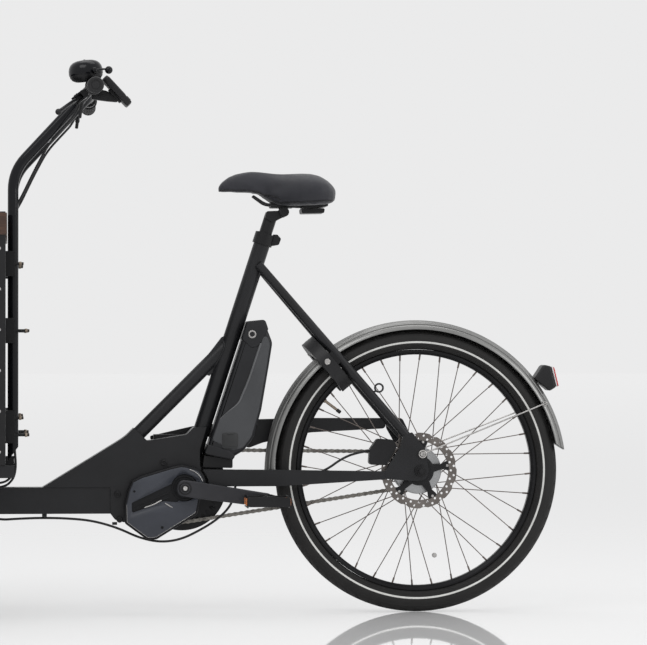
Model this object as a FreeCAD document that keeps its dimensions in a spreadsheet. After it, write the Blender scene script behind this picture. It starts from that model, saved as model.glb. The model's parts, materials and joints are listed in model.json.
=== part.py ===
"""A front-box cargo tricycle with a mid motor, as a parametric FreeCAD document.

The cycle faces -X, +Z is up and the ground is Z = 0. Places in the code are measured from the rear
axle's X, and the function at() moves them into the part's own frame, whose origin is on the ground
under the middle of the whole cycle. Lengths are in millimetres, angles in degrees.
"""
import FreeCAD, Part
import math
import os

V = FreeCAD.Vector
doc = FreeCAD.newDocument("cargo_cycle")

# ---------------------------------------------------------------- driving dimensions
DIMENSIONS = [
    ("axle_offset", 720.5),
    ("bead_radius", 253.5),
    ("tyre_width", 47.0),
    ("rim_inner_radius", 244.6),
    ("rim_width", 25.0),
    ("spoke_radius", 1.0),
    ("flange_hole_radius", 45.0),
    ("rotor_radius", 80.0),
    ("rotor_thickness", 2.0),
    ("rear_axle_radius", 5.0),
    ("stub_axle_radius", 8.0),
    ("running_clearance", 0.05),
    ("dropout_spacing", 135.0),
    ("front_wheel_x", -1290.0),
    ("front_wheel_y", 385.0),
    ("crank_x", -495.0),
    ("crank_z", 266.0),
    ("crank_length", 170.0),
    ("crank_droop", 8.5),
    ("spindle_radius", 10.0),
    ("chain_pitch", 12.7),
    ("chainring_teeth", 38),
    ("sprocket_teeth", 18),
    ("chain_y", 48.0),
    ("seat_angle", 72.0),
    ("seat_tube_radius", 17.5),
    ("seatpost_radius", 13.6),
    ("seat_tube_top", 563.0),
    ("spar_height", 55.5),
    ("spar_width", 44.0),
    ("spar_wall", 2.5),
    ("bridge_width", 50.0),
    ("down_tube_radius", 15.0),
    ("stay_radius", 9.5),
    ("motor_width", 83.0),
    ("battery_width", 86.0),
    ("guard_radius", 322.0),
    ("guard_width", 60.0),
    ("guard_wall", 1.6),
    ("lock_width", 27.0),
    ("lock_outer_radius", 68.0),
    ("lock_inner_radius", 41.0),
    ("shackle_radius", 4.7),
    ("shackle_path_radius", 54.5),
    ("pivot_x", -1310.0),
    ("head_radius", 24.0),
    ("kingpin_radius", 15.0),
    ("box_rear_x", -868.6),
    ("box_width", 620.0),
    ("box_bottom", 323.0),
    ("box_top", 832.0),
    ("box_wall", 9.0),
    ("box_top_length", 890.0),
    ("box_floor_length", 760.0),
    ("bar_radius", 11.1),
    ("bar_bore_radius", 9.3),
    ("bar_half_spacing", 128.0),
    ("bar_x", -853.0),
    ("grip_radius", 16.0),
    ("hose_radius", 2.5),
    ("saddle_width", 205.0),
]

sheet = doc.addObject("Spreadsheet::Sheet", "Sizes")
for row, (alias, value) in enumerate(DIMENSIONS, start=1):
    sheet.set(f"A{row}", alias)
    sheet.set(f"B{row}", str(value))
    sheet.setAlias(f"B{row}", alias)
doc.recompute()


def size(alias):
    """The number in the sheet's cell of that name."""
    return float(sheet.get(alias))


# ---------------------------------------------------------------- places
WHEEL_RADIUS = size("bead_radius") + size("tyre_width")
AXLE_Z = WHEEL_RADIUS
CRANK_X = size("crank_x")
CRANK_Z = size("crank_z")
CHAIN_Y = size("chain_y")
SEAT = math.radians(size("seat_angle"))
LEFT = -1
RIGHT = 1


def at(x, y, z):
    """A point given from the rear axle's X, the middle plane and the ground."""
    return V(size("axle_offset") + x, y, z)


def turned(origin, direction):
    """A placement at a point, with its Z axis along a direction."""
    return FreeCAD.Placement(origin, FreeCAD.Rotation(V(0, 0, 1), direction))


def polar(radius, degrees):
    """A point on a circle in the X, Z plane."""
    return radius * math.cos(math.radians(degrees)), radius * math.sin(math.radians(degrees))


def by_seat_tube(along, rearward, y=0.0):
    """A point measured along the seat tube from the crank axis, and rearward square to the tube."""
    x = CRANK_X + along * math.cos(SEAT) + rearward * math.sin(SEAT)
    z = CRANK_Z + along * math.sin(SEAT) - rearward * math.cos(SEAT)
    return at(x, y, z)


# ---------------------------------------------------------------- helpers for solids
nodes = []


def node(name, part):
    """Keep a document object as a sub-part under its own name."""
    part.Label = name
    nodes.append(part)
    return part


def cylinder(name, radius, start, end):
    """A round bar between two points, whose radius is a sheet expression."""
    bar = doc.addObject("Part::Cylinder", name)
    bar.setExpression("Radius", str(radius))
    bar.Height = (end - start).Length
    bar.Placement = turned(start, end - start)
    return bar


def crosswise(name, radius, x, z, y_start, y_end):
    """A round bar along Y."""
    return cylinder(name, radius, at(x, y_start, z), at(x, y_end, z))


def block(name, x, y, z):
    """A box from three pairs of limits."""
    box = doc.addObject("Part::Box", name)
    box.Length = x[1] - x[0]
    box.Width = y[1] - y[0]
    box.Height = z[1] - z[0]
    box.Placement = FreeCAD.Placement(at(x[0], y[0], z[0]), FreeCAD.Rotation())
    return box


def joined(name, parts):
    """Several parts welded into one solid."""
    weld = doc.addObject("Part::MultiFuse", name)
    weld.Shapes = parts
    return weld


def grouped(name, parts):
    """Several separate solids kept in one sub-part."""
    group = doc.addObject("Part::Compound", name)
    group.Links = parts
    return group


def cut(name, base, tools):
    """A part with one or more others taken away."""
    result = doc.addObject("Part::Cut", name)
    result.Base = base
    result.Tool = tools[0] if len(tools) == 1 else joined(name + "_tools", tools)
    return result


def origin_plane(body, role):
    """One of a body's own origin planes."""
    return next(item for item in body.Origin.OriginFeatures if item.Role == role)


def draw_outline(sketch, corners):
    """Draw a closed outline. A corner is (u, v) when sharp, or (u, v, radius) when rounded."""
    count = len(corners)
    ends = []
    for index, corner in enumerate(corners):
        here = V(corner[0], corner[1], 0)
        before = V(corners[index - 1][0], corners[index - 1][1], 0)
        after = V(corners[(index + 1) % count][0], corners[(index + 1) % count][1], 0)
        radius = corner[2] if len(corner) > 2 else 0.0
        if radius == 0.0:
            ends.append((here, here))
            continue
        back = (before - here).normalize()
        ahead = (after - here).normalize()
        half = back.getAngle(ahead) / 2
        reach = radius / math.tan(half)
        start = here + back * reach
        end = here + ahead * reach
        centre = here + (back + ahead).normalize() * (radius / math.sin(half))
        middle = centre + (here - centre).normalize() * radius
        sketch.addGeometry(Part.Arc(start, middle, end))
        ends.append((start, end))
    for index in range(count):
        start = ends[index][1]
        end = ends[(index + 1) % count][0]
        if start.distanceToPoint(end) > 1e-6:
            sketch.addGeometry(Part.LineSegment(start, end))


def draw_circle(sketch, u, v, radius):
    """Draw a circle of a fixed radius."""
    sketch.addGeometry(Part.Circle(V(u, v, 0), V(0, 0, 1), radius))


def new_body(name, placement=None):
    """An empty body, placed at the rear axle's X on the ground unless told otherwise."""
    body = doc.addObject("PartDesign::Body", name)
    body.Placement = placement or FreeCAD.Placement(at(0, 0, 0), FreeCAD.Rotation())
    return body


def new_sketch(body, suffix, plane="XZ_Plane"):
    """A sketch on one of the body's origin planes."""
    sketch = body.newObject("Sketcher::SketchObject", f"{body.Name}_{suffix}")
    sketch.AttachmentSupport = [(origin_plane(body, plane), "")]
    sketch.MapMode = "FlatFace"
    return sketch


def pad(body, sketch, length):
    """Pad a sketch to both sides of its plane; length is a sheet expression."""
    feature = body.newObject("PartDesign::Pad", sketch.Name + "_pad")
    feature.Profile = sketch
    feature.SideType = "Symmetric"
    feature.setExpression("Length", str(length))
    return feature


def pocket(body, sketch, length):
    """Cut a sketch away to both sides of its plane; length is a sheet expression."""
    feature = body.newObject("PartDesign::Pocket", sketch.Name + "_pocket")
    feature.Profile = sketch
    feature.SideType = "Symmetric"
    feature.setExpression("Length", str(length))
    return feature


def plate(name, corners, width, y=0.0):
    """A flat piece with an outline in the X, Z plane, centred on a plane of constant Y."""
    body = new_body(name, FreeCAD.Placement(at(0, y, 0), FreeCAD.Rotation()))
    outline = new_sketch(body, "outline")
    draw_outline(outline, corners)
    pad(body, outline, width)
    return body


def soften(body, width, radius):
    """Round the long edges round both side faces of a plate."""
    doc.recompute()
    base = body.Tip
    names = []
    for index, edge in enumerate(base.Shape.Edges, start=1):
        box = edge.BoundBox
        if box.YLength < 1e-3 and abs(abs(box.YMin) - width / 2) < 1e-3:
            names.append(f"Edge{index}")
    fillet = body.newObject("PartDesign::Fillet", body.Name + "_round")
    fillet.Base = (base, names)
    fillet.Radius = radius
    return fillet


def turned_piece(name, x, y, z, profile, angle=360.0, start=0.0):
    """A piece turned about an axis along Y; the profile's corners are (radius, distance along +Y)."""
    spin = FreeCAD.Rotation(V(0, 1, 0), -(start + angle)).multiply(FreeCAD.Rotation(V(1, 0, 0), -90))
    body = new_body(name, FreeCAD.Placement(at(x, y, z), spin))
    sketch = new_sketch(body, "profile")
    draw_outline(sketch, profile)
    feature = body.newObject("PartDesign::Revolution", name + "_turn")
    feature.Profile = sketch
    feature.ReferenceAxis = (sketch, ["V_Axis"])
    feature.Angle = angle
    return body


def ring_body(name, x, y, z, inner, outer, width):
    """A plain ring about an axis along Y, centred on y, with radii from the sheet."""
    hollow = crosswise(name + "_bore", inner, x, z, y - width, y + width)
    disc = crosswise(name + "_disc", outer, x, z, y - width / 2, y + width / 2)
    return cut(name, disc, [hollow])


def route_wire(points, radii):
    """Straight runs joined by tangent arcs; radii holds one number for each inner point."""
    edges = []
    start = points[0]
    for index, radius in enumerate(radii, start=1):
        here = points[index]
        back = (points[index - 1] - here).normalize()
        ahead = (points[index + 1] - here).normalize()
        half = back.getAngle(ahead) / 2
        reach = radius / math.tan(half)
        first = here + back * reach
        last = here + ahead * reach
        centre = here + (back + ahead).normalize() * (radius / math.sin(half))
        middle = centre + (here - centre).normalize() * radius
        edges.append(Part.LineSegment(start, first).toShape())
        edges.append(Part.Arc(first, middle, last).toShape())
        start = last
    edges.append(Part.LineSegment(start, points[-1]).toShape())
    return Part.Wire(edges)


def swept_solid(points, radii, radius):
    """A round bar along a route; its volume is compared with section times length."""
    wire = route_wire(points, radii)
    section = Part.Wire(Part.Circle(points[0], points[1] - points[0], radius).toShape())
    solid = Part.Wire(wire.Edges).makePipeShell([section], True, False)
    expected = math.pi * radius**2 * wire.Length
    if abs(solid.Volume - expected) > 0.01 * expected:
        raise RuntimeError("a bent tube has the wrong volume")
    return solid


def bent_bar(name, points, radii, radius_alias):
    """A bent round bar as a document object, with its radius read from the sheet."""
    feature = doc.addObject("Part::Feature", name)
    feature.Shape = swept_solid(points, radii, size(radius_alias))
    feature.Placement = FreeCAD.Placement()
    return feature


def hose(name, points):
    """A brake hose or cable that is held all the way, with arcs as large as its runs allow."""
    radii = []
    for index in range(1, len(points) - 1):
        before = points[index - 1] - points[index]
        after = points[index + 1] - points[index]
        turn = math.pi - before.getAngle(after)
        shorter = min(before.Length, after.Length)
        radii.append(0.45 * shorter / math.tan(turn / 2))
    print(name, "bend radii", [round(radius) for radius in radii])
    return bent_bar(name, points, radii, "hose_radius")


def hex_bolt(name, across, x, z, y_start, y_end):
    """A hexagonal bolt head along Y."""
    head = doc.addObject("Part::Prism", name)
    head.Polygon = 6
    head.Circumradius = across / math.sqrt(3)
    head.Height = abs(y_end - y_start)
    head.Placement = turned(at(x, y_start, z), V(0, y_end - y_start, 0))
    return head


# ---------------------------------------------------------------- wheels
def make_tyre(name, x, y):
    """An open-section tyre, closed towards the rim by its two beads."""
    middle = size("bead_radius") + size("tyre_width") / 2
    outer = size("tyre_width") / 2
    inner = outer - 3.5
    opening = math.radians(25)
    spin = FreeCAD.Rotation(V(1, 0, 0), -90)
    body = new_body(name, FreeCAD.Placement(at(x, y, AXLE_Z), spin))
    sketch = new_sketch(body, "profile")
    tips = {}
    for radius in (outer, inner):
        tips[radius] = [V(middle - radius * math.cos(opening), side * radius * math.sin(opening), 0)
                        for side in (LEFT, RIGHT)]
        sketch.addGeometry(Part.Arc(tips[radius][0], V(middle + radius, 0, 0), tips[radius][1]))
    for side in (0, 1):
        sketch.addGeometry(Part.LineSegment(tips[outer][side], tips[inner][side]))
    turn = body.newObject("PartDesign::Revolution", name + "_turn")
    turn.Profile = sketch
    turn.ReferenceAxis = (sketch, ["V_Axis"])
    return body


def make_rim(name, x, y):
    """A boxed rim with two low walls that the tyre's beads meet."""
    half = size("rim_width") / 2
    inner = size("rim_inner_radius")
    top = size("bead_radius") + 1.8
    profile = [
        (inner, -half + 5, 2), (inner, half - 5, 2), (inner + 6, half, 2), (top, half),
        (top, half - 2), (inner + 7.5, half - 2.5, 1.5), (inner + 5, half - 7, 1.5),
        (inner + 5, -half + 7, 1.5), (inner + 7.5, -half + 2.5, 1.5), (top, -half + 2),
        (top, -half), (inner + 6, -half, 2),
    ]
    return turned_piece(name, x, y, AXLE_Z, profile)


SPOKES = 36
FIRST_SPOKE = 8.0
SPOKE_LEAN = 40.0


def make_spokes(name, x, y, flange_y):
    """Crossed spokes: every second one goes to each flange, and each flange's spokes lean both ways."""
    bars = []
    for number in range(SPOKES):
        side = LEFT if number % 2 == 0 else RIGHT
        lean = RIGHT if (number // 2) % 2 == 0 else LEFT
        rim_angle = FIRST_SPOKE + number * 360 / SPOKES
        rim_x, rim_z = polar(size("rim_inner_radius") + 1.5, rim_angle)
        hub_x, hub_z = polar(size("flange_hole_radius"), rim_angle + lean * SPOKE_LEAN)
        hub_y = side * (flange_y + lean * 1.8)
        start = at(x + hub_x, y + hub_y, AXLE_Z + hub_z)
        end = at(x + rim_x, y + side * 1.0, AXLE_Z + rim_z)
        bars.append(cylinder(f"{name}_{number}", "Sizes.spoke_radius", start, end))
        nipple = start + (end - start) * 0.94
        bars.append(cylinder(f"{name}_nipple_{number}", "Sizes.spoke_radius + 0.9", nipple, end))
    return bars


def spoke_group(name, x, y, flange_y):
    """All of one wheel's spokes, each joined with its nipple."""
    bars = make_spokes(name, x, y, flange_y)
    pairs = [joined(f"{name}_pair_{index // 2}", bars[index:index + 2]) for index in range(0, len(bars), 2)]
    return pairs


ROTOR_TRACK_RADIUS = 62.0
ROTOR_HOLE_ROWS = ((67.5, 0.0), (74.5, 0.5))


def make_rotor(name, x, y, hole_count=24, scallops=12):
    """A brake rotor's steel track with a wavy edge and two rows of holes."""
    body = new_body(name, FreeCAD.Placement(at(x, y, AXLE_Z), FreeCAD.Rotation()))
    outline = new_sketch(body, "outline")
    draw_circle(outline, 0, 0, size("rotor_radius"))
    draw_circle(outline, 0, 0, ROTOR_TRACK_RADIUS)
    pad(body, outline, "Sizes.rotor_thickness")
    hole = new_sketch(body, "holes")
    for index in range(hole_count):
        for radius, shift in ROTOR_HOLE_ROWS:
            u, v = polar(radius, (index + shift) * 360 / hole_count)
            draw_circle(hole, u, v, 2.4)
    pocket(body, hole, "2 * Sizes.rotor_thickness")
    edge = new_sketch(body, "scallops")
    for index in range(scallops):
        u, v = polar(size("rotor_radius") + 14.0, (index + 0.25) * 360 / scallops)
        draw_circle(edge, u, v, 16.5)
    pocket(body, edge, "2 * Sizes.rotor_thickness")
    return body


def make_carrier(name, x, y, bore, arms=5):
    """The rotor's five-armed carrier."""
    body = new_body(name, FreeCAD.Placement(at(x, y, AXLE_Z), FreeCAD.Rotation()))
    disc = new_sketch(body, "boss")
    draw_circle(disc, 0, 0, 31.0)
    draw_circle(disc, 0, 0, bore)
    pad(body, disc, 3.0)
    for index in range(arms):
        angle = 10.0 + index * 360 / arms
        arm = new_sketch(body, f"arm_{index}")
        corners = [(26, -9, 0), (48, -5, 6), (61.3, -9, 0), (61.3, 9, 0), (48, 5, 6), (26, 9, 0)]
        spun = []
        for u, v, radius in corners:
            reach = math.hypot(u, v)
            turn = math.degrees(math.atan2(v, u)) + angle
            spun.append((*polar(reach, turn), radius))
        draw_outline(arm, spun)
        pad(body, arm, 2.0)
    return body


# rear wheel: flanges at 30 mm each side, the rotor on the left, the driver on the right
node("rear_tyre", make_tyre("rear_tyre", 0, 0))
node("rear_rim", make_rim("rear_rim", 0, 0))
node("rear_spokes", grouped("rear_spokes", spoke_group("rear_spoke", 0, 0, 30.0)))
AXLE_BORE = size("rear_axle_radius") + size("running_clearance")
hub_shell = turned_piece("rear_hub_shell", 0, 0, AXLE_Z, [
    (AXLE_BORE, -60), (13, -60), (16, -56), (16, -53.6), (27, -53.6), (27, -46, 2), (20, -40, 4),
    (22, -34.5), (50, -33, 2), (50, -27, 2), (24, -24, 4), (18, -16, 6), (18, 16, 6), (24, 24, 4),
    (50, 27, 2), (50, 33, 2), (22, 35), (17, 41), (12, 41), (12, 54), (AXLE_BORE, 54),
])
node("rear_hub", grouped("rear_hub", [hub_shell, make_carrier("rotor_carrier", 0, -52.0, 27.0)]))
node("rear_rotor", make_rotor("rear_rotor", 0, -52.0))


def front_wheel(word, side):
    """One front wheel, which turns on a stub axle held at its inner end only."""
    x = size("front_wheel_x")
    y = side * size("front_wheel_y")
    node(f"{word}_tyre", make_tyre(f"{word}_tyre", x, y))
    node(f"{word}_rim", make_rim(f"{word}_rim", x, y))
    bore = size("stub_axle_radius") + size("running_clearance")
    # distances along Y of the hub's profile are outward from the wheel's middle plane
    profile = [
        (bore, -40), (27, -40), (27, -38.9), (27, -36), (20, -30, 4), (24, -27), (50, -26, 2),
        (50, -20, 2), (24, -17, 4), (18, -11, 6), (18, 11, 6), (24, 17, 4), (50, 20, 2), (50, 26, 2),
        (24, 28), (22, 33, 2), (bore, 33),
    ]
    if side == LEFT:
        profile = [(corner[0], -corner[1], *corner[2:]) for corner in profile]
    hub = turned_piece(f"{word}_hub_shell", x, y, AXLE_Z, profile)
    rotor = make_rotor(f"{word}_rotor", x, y - side * 44.0)
    arms = make_carrier(f"{word}_carrier", x, y - side * 44.0, bore)
    disc = joined(f"{word}_disc", [rotor, arms])
    spacer = ring_body(f"{word}_spacer", x, y - side * 41.25, AXLE_Z, f"{bore}", "27", 2.5)
    spokes = spoke_group(f"{word}_spoke", x, y, 23.0)
    node(f"{word}_hub", grouped(f"{word}_hub", [hub, spacer, disc, *spokes]))


front_wheel("left", LEFT)
front_wheel("right", RIGHT)

# ---------------------------------------------------------------- rear frame: tubes
SPAR_TOP = 266.5
SPAR_BOTTOM = SPAR_TOP - size("spar_height")
SPAR_REAR = -649.0
PIVOT_X = size("pivot_x")
half_spar = size("spar_width") / 2
wall = size("spar_wall")
head = cylinder("head_outside", "Sizes.head_radius", at(PIVOT_X, 0, SPAR_BOTTOM - 6), at(PIVOT_X, 0, SPAR_TOP))
head_bore = cylinder("head_bore", "Sizes.kingpin_radius + Sizes.running_clearance",
                     at(PIVOT_X, 0, SPAR_BOTTOM - 20), at(PIVOT_X, 0, SPAR_TOP + 20))
spar_outside = block("spar_outside", (PIVOT_X, SPAR_REAR), (-half_spar, half_spar), (SPAR_BOTTOM, SPAR_TOP))
spar_outside.setExpression("Width", "Sizes.spar_width")
spar_outside.setExpression("Height", "Sizes.spar_height")
spar_inside = block("spar_inside", (PIVOT_X + 20, SPAR_REAR + 10), (-half_spar + wall, half_spar - wall),
                    (SPAR_BOTTOM + wall, SPAR_TOP - wall))
spar_weld = joined("spar_weld", [cut("spar_shell", spar_outside, [spar_inside]), head])
node("spar_tube", cut("spar_tube", spar_weld, [head_bore]))

# the motor's outline, which the bridge is notched to take
MOTOR_OUTLINE = [
    (-605.5, 281, 8), (-585, 291, 8), (-531, 307, 16), (-500, 315, 40), (-462, 305, 26), (-449, 281, 20),
    (-462, 240, 20), (-468, 210.5, 12), (-553, 158, 12), (-573, 157, 12), (-620, 192, 8), (-621, 231, 10),
    (-614, 261, 10),
]


def shrunk(corners, amount):
    """The motor's outline drawn in towards its middle by a share of its size."""
    middle_x = sum(corner[0] for corner in corners) / len(corners)
    middle_z = sum(corner[1] for corner in corners) / len(corners)
    return [(middle_x + (x - middle_x) * amount, middle_z + (z - middle_z) * amount, radius * amount)
            for x, z, radius in corners]


# the bridge: two side plates and a top web, open below for the motor
bridge = plate("bridge_shell", [
    (-791.5, SPAR_TOP), (-619, 372, 120), (-600, 391), (-571.5, 364, 6), (-489, 377, 4), (-474, 392),
    (-447, 392), (-461, 345, 6), (-461, 312), (-452, 281), (-470, 256), (-540, 236), (-600, 196, 6),
    (-621, 193), (-639, 198, 10), (SPAR_REAR, SPAR_BOTTOM), (SPAR_REAR, SPAR_TOP),
], "Sizes.bridge_width")
hollow = new_sketch(bridge, "hollow")
draw_outline(hollow, [
    (-700, SPAR_TOP - 3), (-617, 360, 60), (-572, 357), (-486, 370), (-466, 340), (-466, 240),
    (-500, 180), (-640, 180), (SPAR_REAR + 2, 205), (SPAR_REAR + 2, SPAR_TOP - 3),
])
pocket(bridge, hollow, "Sizes.bridge_width - 8")
seat_cutter = cylinder("seat_tube_cutter", "Sizes.seat_tube_radius", by_seat_tube(0, 0), by_seat_tube(600, 0))
motor_core = plate("motor_core", shrunk(MOTOR_OUTLINE, 0.93), "Sizes.motor_width", y=-3.5)
node("motor_bridge", cut("notched_bridge", bridge, [seat_cutter, motor_core]))

down_start = at(-585, 0, 382.7)
down_end = at(-397, 0, 570.1)
down_bar = cylinder("down_bar", "Sizes.down_tube_radius", down_start - (down_end - down_start) * 0.2, down_end)
down_top = plate("down_top_gusset", [
    (-470, 512), (-437, 552, 30), (-414, 582), (-392, 590), (-400, 540), (-440, 500),
], 16.0)
down_weld = joined("down_weld", [down_bar, down_top])
bridge_slope = plate("bridge_slope", [
    (-700, 200), (-700, 372), (-619, 372), (-600, 391), (-571.5, 364), (-489, 377), (-474, 392), (-400, 392),
    (-400, 200),
], 80.0)
down_hollow = cylinder("down_hollow", "Sizes.down_tube_radius - 2", down_start, at(-430, 0, 537.1))
node("down_tube", cut("down_tube", down_weld, [seat_cutter, bridge_slope, down_hollow]))

seat_outer = cylinder("seat_outer", "Sizes.seat_tube_radius", by_seat_tube(58, 0), by_seat_tube(563, 0))
seat_outer.setExpression("Height", "Sizes.seat_tube_top - 58")
seat_bore = cylinder("seat_bore", "Sizes.seatpost_radius + Sizes.running_clearance",
                     by_seat_tube(66, 0), by_seat_tube(600, 0))
node("seat_tube", cut("seat_tube", seat_outer, [seat_bore]))

# collar with its ear and bolt at the seat tube's top
collar = cylinder("collar_band", "Sizes.seat_tube_radius + 3.5", by_seat_tube(538, 0), by_seat_tube(562, 0))
ear = plate("collar_ear", [(-318, 773, 2), (-293, 777, 4), (-288, 790, 4), (-296, 799, 4), (-316, 799)], 14.0)
collar_split = block("collar_split", (-325, -280), (-1, 1), (760, 815))
node("seat_clamp", cut("seat_clamp", joined("collar_weld", [collar, ear]), [seat_cutter, collar_split]))

# seat stays with the strap eyelet on the left one
stay_bars = []
stays = []
for word, side in (("left", LEFT), ("right", RIGHT)):
    top = at(-337, side * 16, 735)
    foot = at(-26, side * 65, 372)
    bar = cylinder(f"stay_{word}", "Sizes.stay_radius", top, foot)
    run = foot - top
    bore = cylinder(f"stay_bore_{word}", "Sizes.stay_radius - 1.5", top + run * 0.1, foot - run * 0.06)
    stay_bars.append(bar)
    stays.append(cut(f"seatstay_{word}", bar, [seat_cutter, bore]))
EYELET = (-85.0, 475.0)
eyelet_stem = cylinder("eyelet_stem", 2.2, at(-103, -53, 462), at(-91, -53, 469))
eyelet_ring = doc.addObject("Part::Torus", "eyelet_ring")
eyelet_ring.Radius1 = 8.5
eyelet_ring.Radius2 = 2.0
eyelet_ring.Placement = turned(at(EYELET[0], -53, EYELET[1]), V(0, 1, 0))
eyelet = cut("eyelet", joined("eyelet_weld", [eyelet_stem, eyelet_ring]), [stay_bars[0]])
node("seatstays", grouped("seatstays", [*stays, eyelet]))

# left chainstay: a flattened tube that swings out from the bridge to the dropout
LEFT_STAY = [(-455, -26, -44, 268, 304), (-290, -45, -62, 269, 303), (-74, -68, -76, 283, 300)]
left_stay = doc.addObject("Part::Loft", "left_stay_blade")
stay_sections = []
for index, (x, y_in, y_out, low, high) in enumerate(LEFT_STAY):
    corners = [at(x, y_in, low), at(x, y_out, low), at(x, y_out, high), at(x, y_in, high)]
    section = doc.addObject("Part::Polygon", f"left_stay_section_{index}")
    section.Nodes = corners
    section.Close = True
    stay_sections.append(section)
left_stay.Sections = stay_sections
left_stay.Solid = True
left_stay.Ruled = True
motor_room = crosswise("motor_room_left", 53, CRANK_X, CRANK_Z, -80, 80)
node("left_chainstay", cut("left_chainstay", left_stay, [motor_room]))

# right chainstay: raised above the chain
right_stay = plate("right_stay_blade", [
    (-562, 364, 3), (-562, 372, 3), (-474, 392, 60), (-335, 407, 60), (-221, 409.5), (-62, 409, 6),
    (-57, 387, 8), (-221, 378.6, 80), (-323, 357, 20), (-352, 346, 10), (-405, 366, 40), (-475, 374, 60),
], 15.0, y=63.5)
lug = block("right_stay_lug", (-556, -500), (21, 56), (367, 376))
lug_cut = cut("right_stay_lug_cut", lug, [bridge_slope])
right_weld = joined("right_stay_weld", [right_stay, lug])
bridge_room = block("bridge_room", (-700, -400), (-30, 25), (300, 420))
node("right_chainstay", cut("right_chainstay", right_weld, [stay_bars[1], bridge_room]))

# dropout plates
half_drop = size("dropout_spacing") / 2
dropouts = []
for word, side in (("left", LEFT), ("right", RIGHT)):
    low_lug = [(-74, 284, 3), (-74, 300, 3)] if side == LEFT else [(-24, 284, 6), (-24, 330, 6)]
    high_lug = [(-42, 352, 6), (-37, 374, 3), (-17, 382, 3)] if side == LEFT else [
        (-56, 387, 3), (-58, 409, 3), (-22, 409, 10)]
    blade = plate(f"dropout_{word}", [
        *low_lug, *high_lug, (6, 352, 8), (15, 336, 8), (15, 318, 10), (18, 300, 10), (12, 283, 10), (-6, 279, 12),
    ], 7.0, y=side * (half_drop + 3.5))
    hole = crosswise(f"dropout_hole_{word}", "Sizes.rear_axle_radius", 0, AXLE_Z, side * 60, side * 90)
    dropouts.append(cut(f"{word}_dropout", blade, [hole]))
dropout_group = grouped("dropout_pair", dropouts)
node("dropouts", cut("dropouts", dropout_group, stay_bars))

# rear axle with a dome nut at each end, whose stubs stay free for a trailer hitch
axle_bar = crosswise("axle_bar", "Sizes.rear_axle_radius", 0, AXLE_Z, -95, 95)
axle_nuts = [hex_bolt(f"axle_nut_{index}", 17, 0, AXLE_Z, side * (half_drop + 7), side * (half_drop + 15))
             for index, side in enumerate((LEFT, RIGHT))]
axle_spacers = [crosswise(f"axle_spacer_{index}", 9, 0, AXLE_Z, side * inner, side * half_drop)
                for index, (side, inner) in enumerate(((LEFT, 60.5), (RIGHT, 56.0)))]
node("rear_axle", joined("rear_axle", [axle_bar, *axle_nuts, *axle_spacers]))

# ---------------------------------------------------------------- motor
SPINDLE_BORE = "Sizes.spindle_radius + Sizes.running_clearance"
spindle_bore = crosswise("spindle_bore", SPINDLE_BORE, CRANK_X, CRANK_Z, -90, 90)
bearing_seats = [crosswise(f"bearing_seat_{index}", 16, CRANK_X, CRANK_Z, *limits)
                 for index, limits in enumerate(((-45, -37), (30, 38)))]
node("motor_housing", cut("motor_housing", motor_core, [spindle_bore, *bearing_seats]))

left_cover = plate("left_cover", MOTOR_OUTLINE, 11.0, y=-50.5)
soften(left_cover, 11.0, 2.5)
recess = plate("cover_recess", [(-592, 231, 5), (-511, 268, 4), (-506, 238, 4), (-588, 207, 5)], 3.0, y=-55.5)
right_cover = plate("right_cover", shrunk(MOTOR_OUTLINE, 0.97), 4.0, y=40.0)
cover_bore = crosswise("cover_bore", "Sizes.spindle_radius + 6", CRANK_X, CRANK_Z, -90, 90)
node("motor_covers", grouped("motor_covers", [
    cut("left_cover_cut", left_cover, [recess, cover_bore]),
    cut("right_cover_cut", right_cover, [cover_bore]),
]))

# bearings: two on the crank spindle, two cups on the kingpin
bearings = [ring_body(f"crank_bearing_{index}", CRANK_X, y, CRANK_Z, SPINDLE_BORE, "16", 8.0)
            for index, y in enumerate((-41.0, 34.0))]
for index, (low, high) in enumerate(((SPAR_TOP, SPAR_TOP + 4), (SPAR_BOTTOM - 10, SPAR_BOTTOM - 6))):
    cup = cylinder(f"cup_{index}", "Sizes.head_radius + 3", at(PIVOT_X, 0, low), at(PIVOT_X, 0, high))
    bearings.append(cut(f"headset_cup_{index}", cup, [head_bore]))
node("bearings", grouped("bearings", bearings))

# bolts of the motor on both side plates, the stays' pad screws and the hose clips
fittings = []
for index, (x, z) in enumerate(((-634, 252), (-537, 318), (-630, 199))):
    for side in (LEFT, RIGHT):
        fittings.append(crosswise(f"frame_bolt_{index}_{side + 1}", 6.5, x, z, side * 25, side * 29))
for index, (x, z, y) in enumerate(((-787, 206, -12), (-640, 188.5, -18))):
    fittings.append(block(f"hose_clip_{index}", (x - 5, x + 5), (y - 7, y + 7), (z - 1.0, z + 4.5)))

# ---------------------------------------------------------------- chain and its wheels
ring_pitch_radius = size("chain_pitch") / 2 / math.sin(math.pi / size("chainring_teeth"))
sprocket_pitch_radius = size("chain_pitch") / 2 / math.sin(math.pi / size("sprocket_teeth"))


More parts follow.
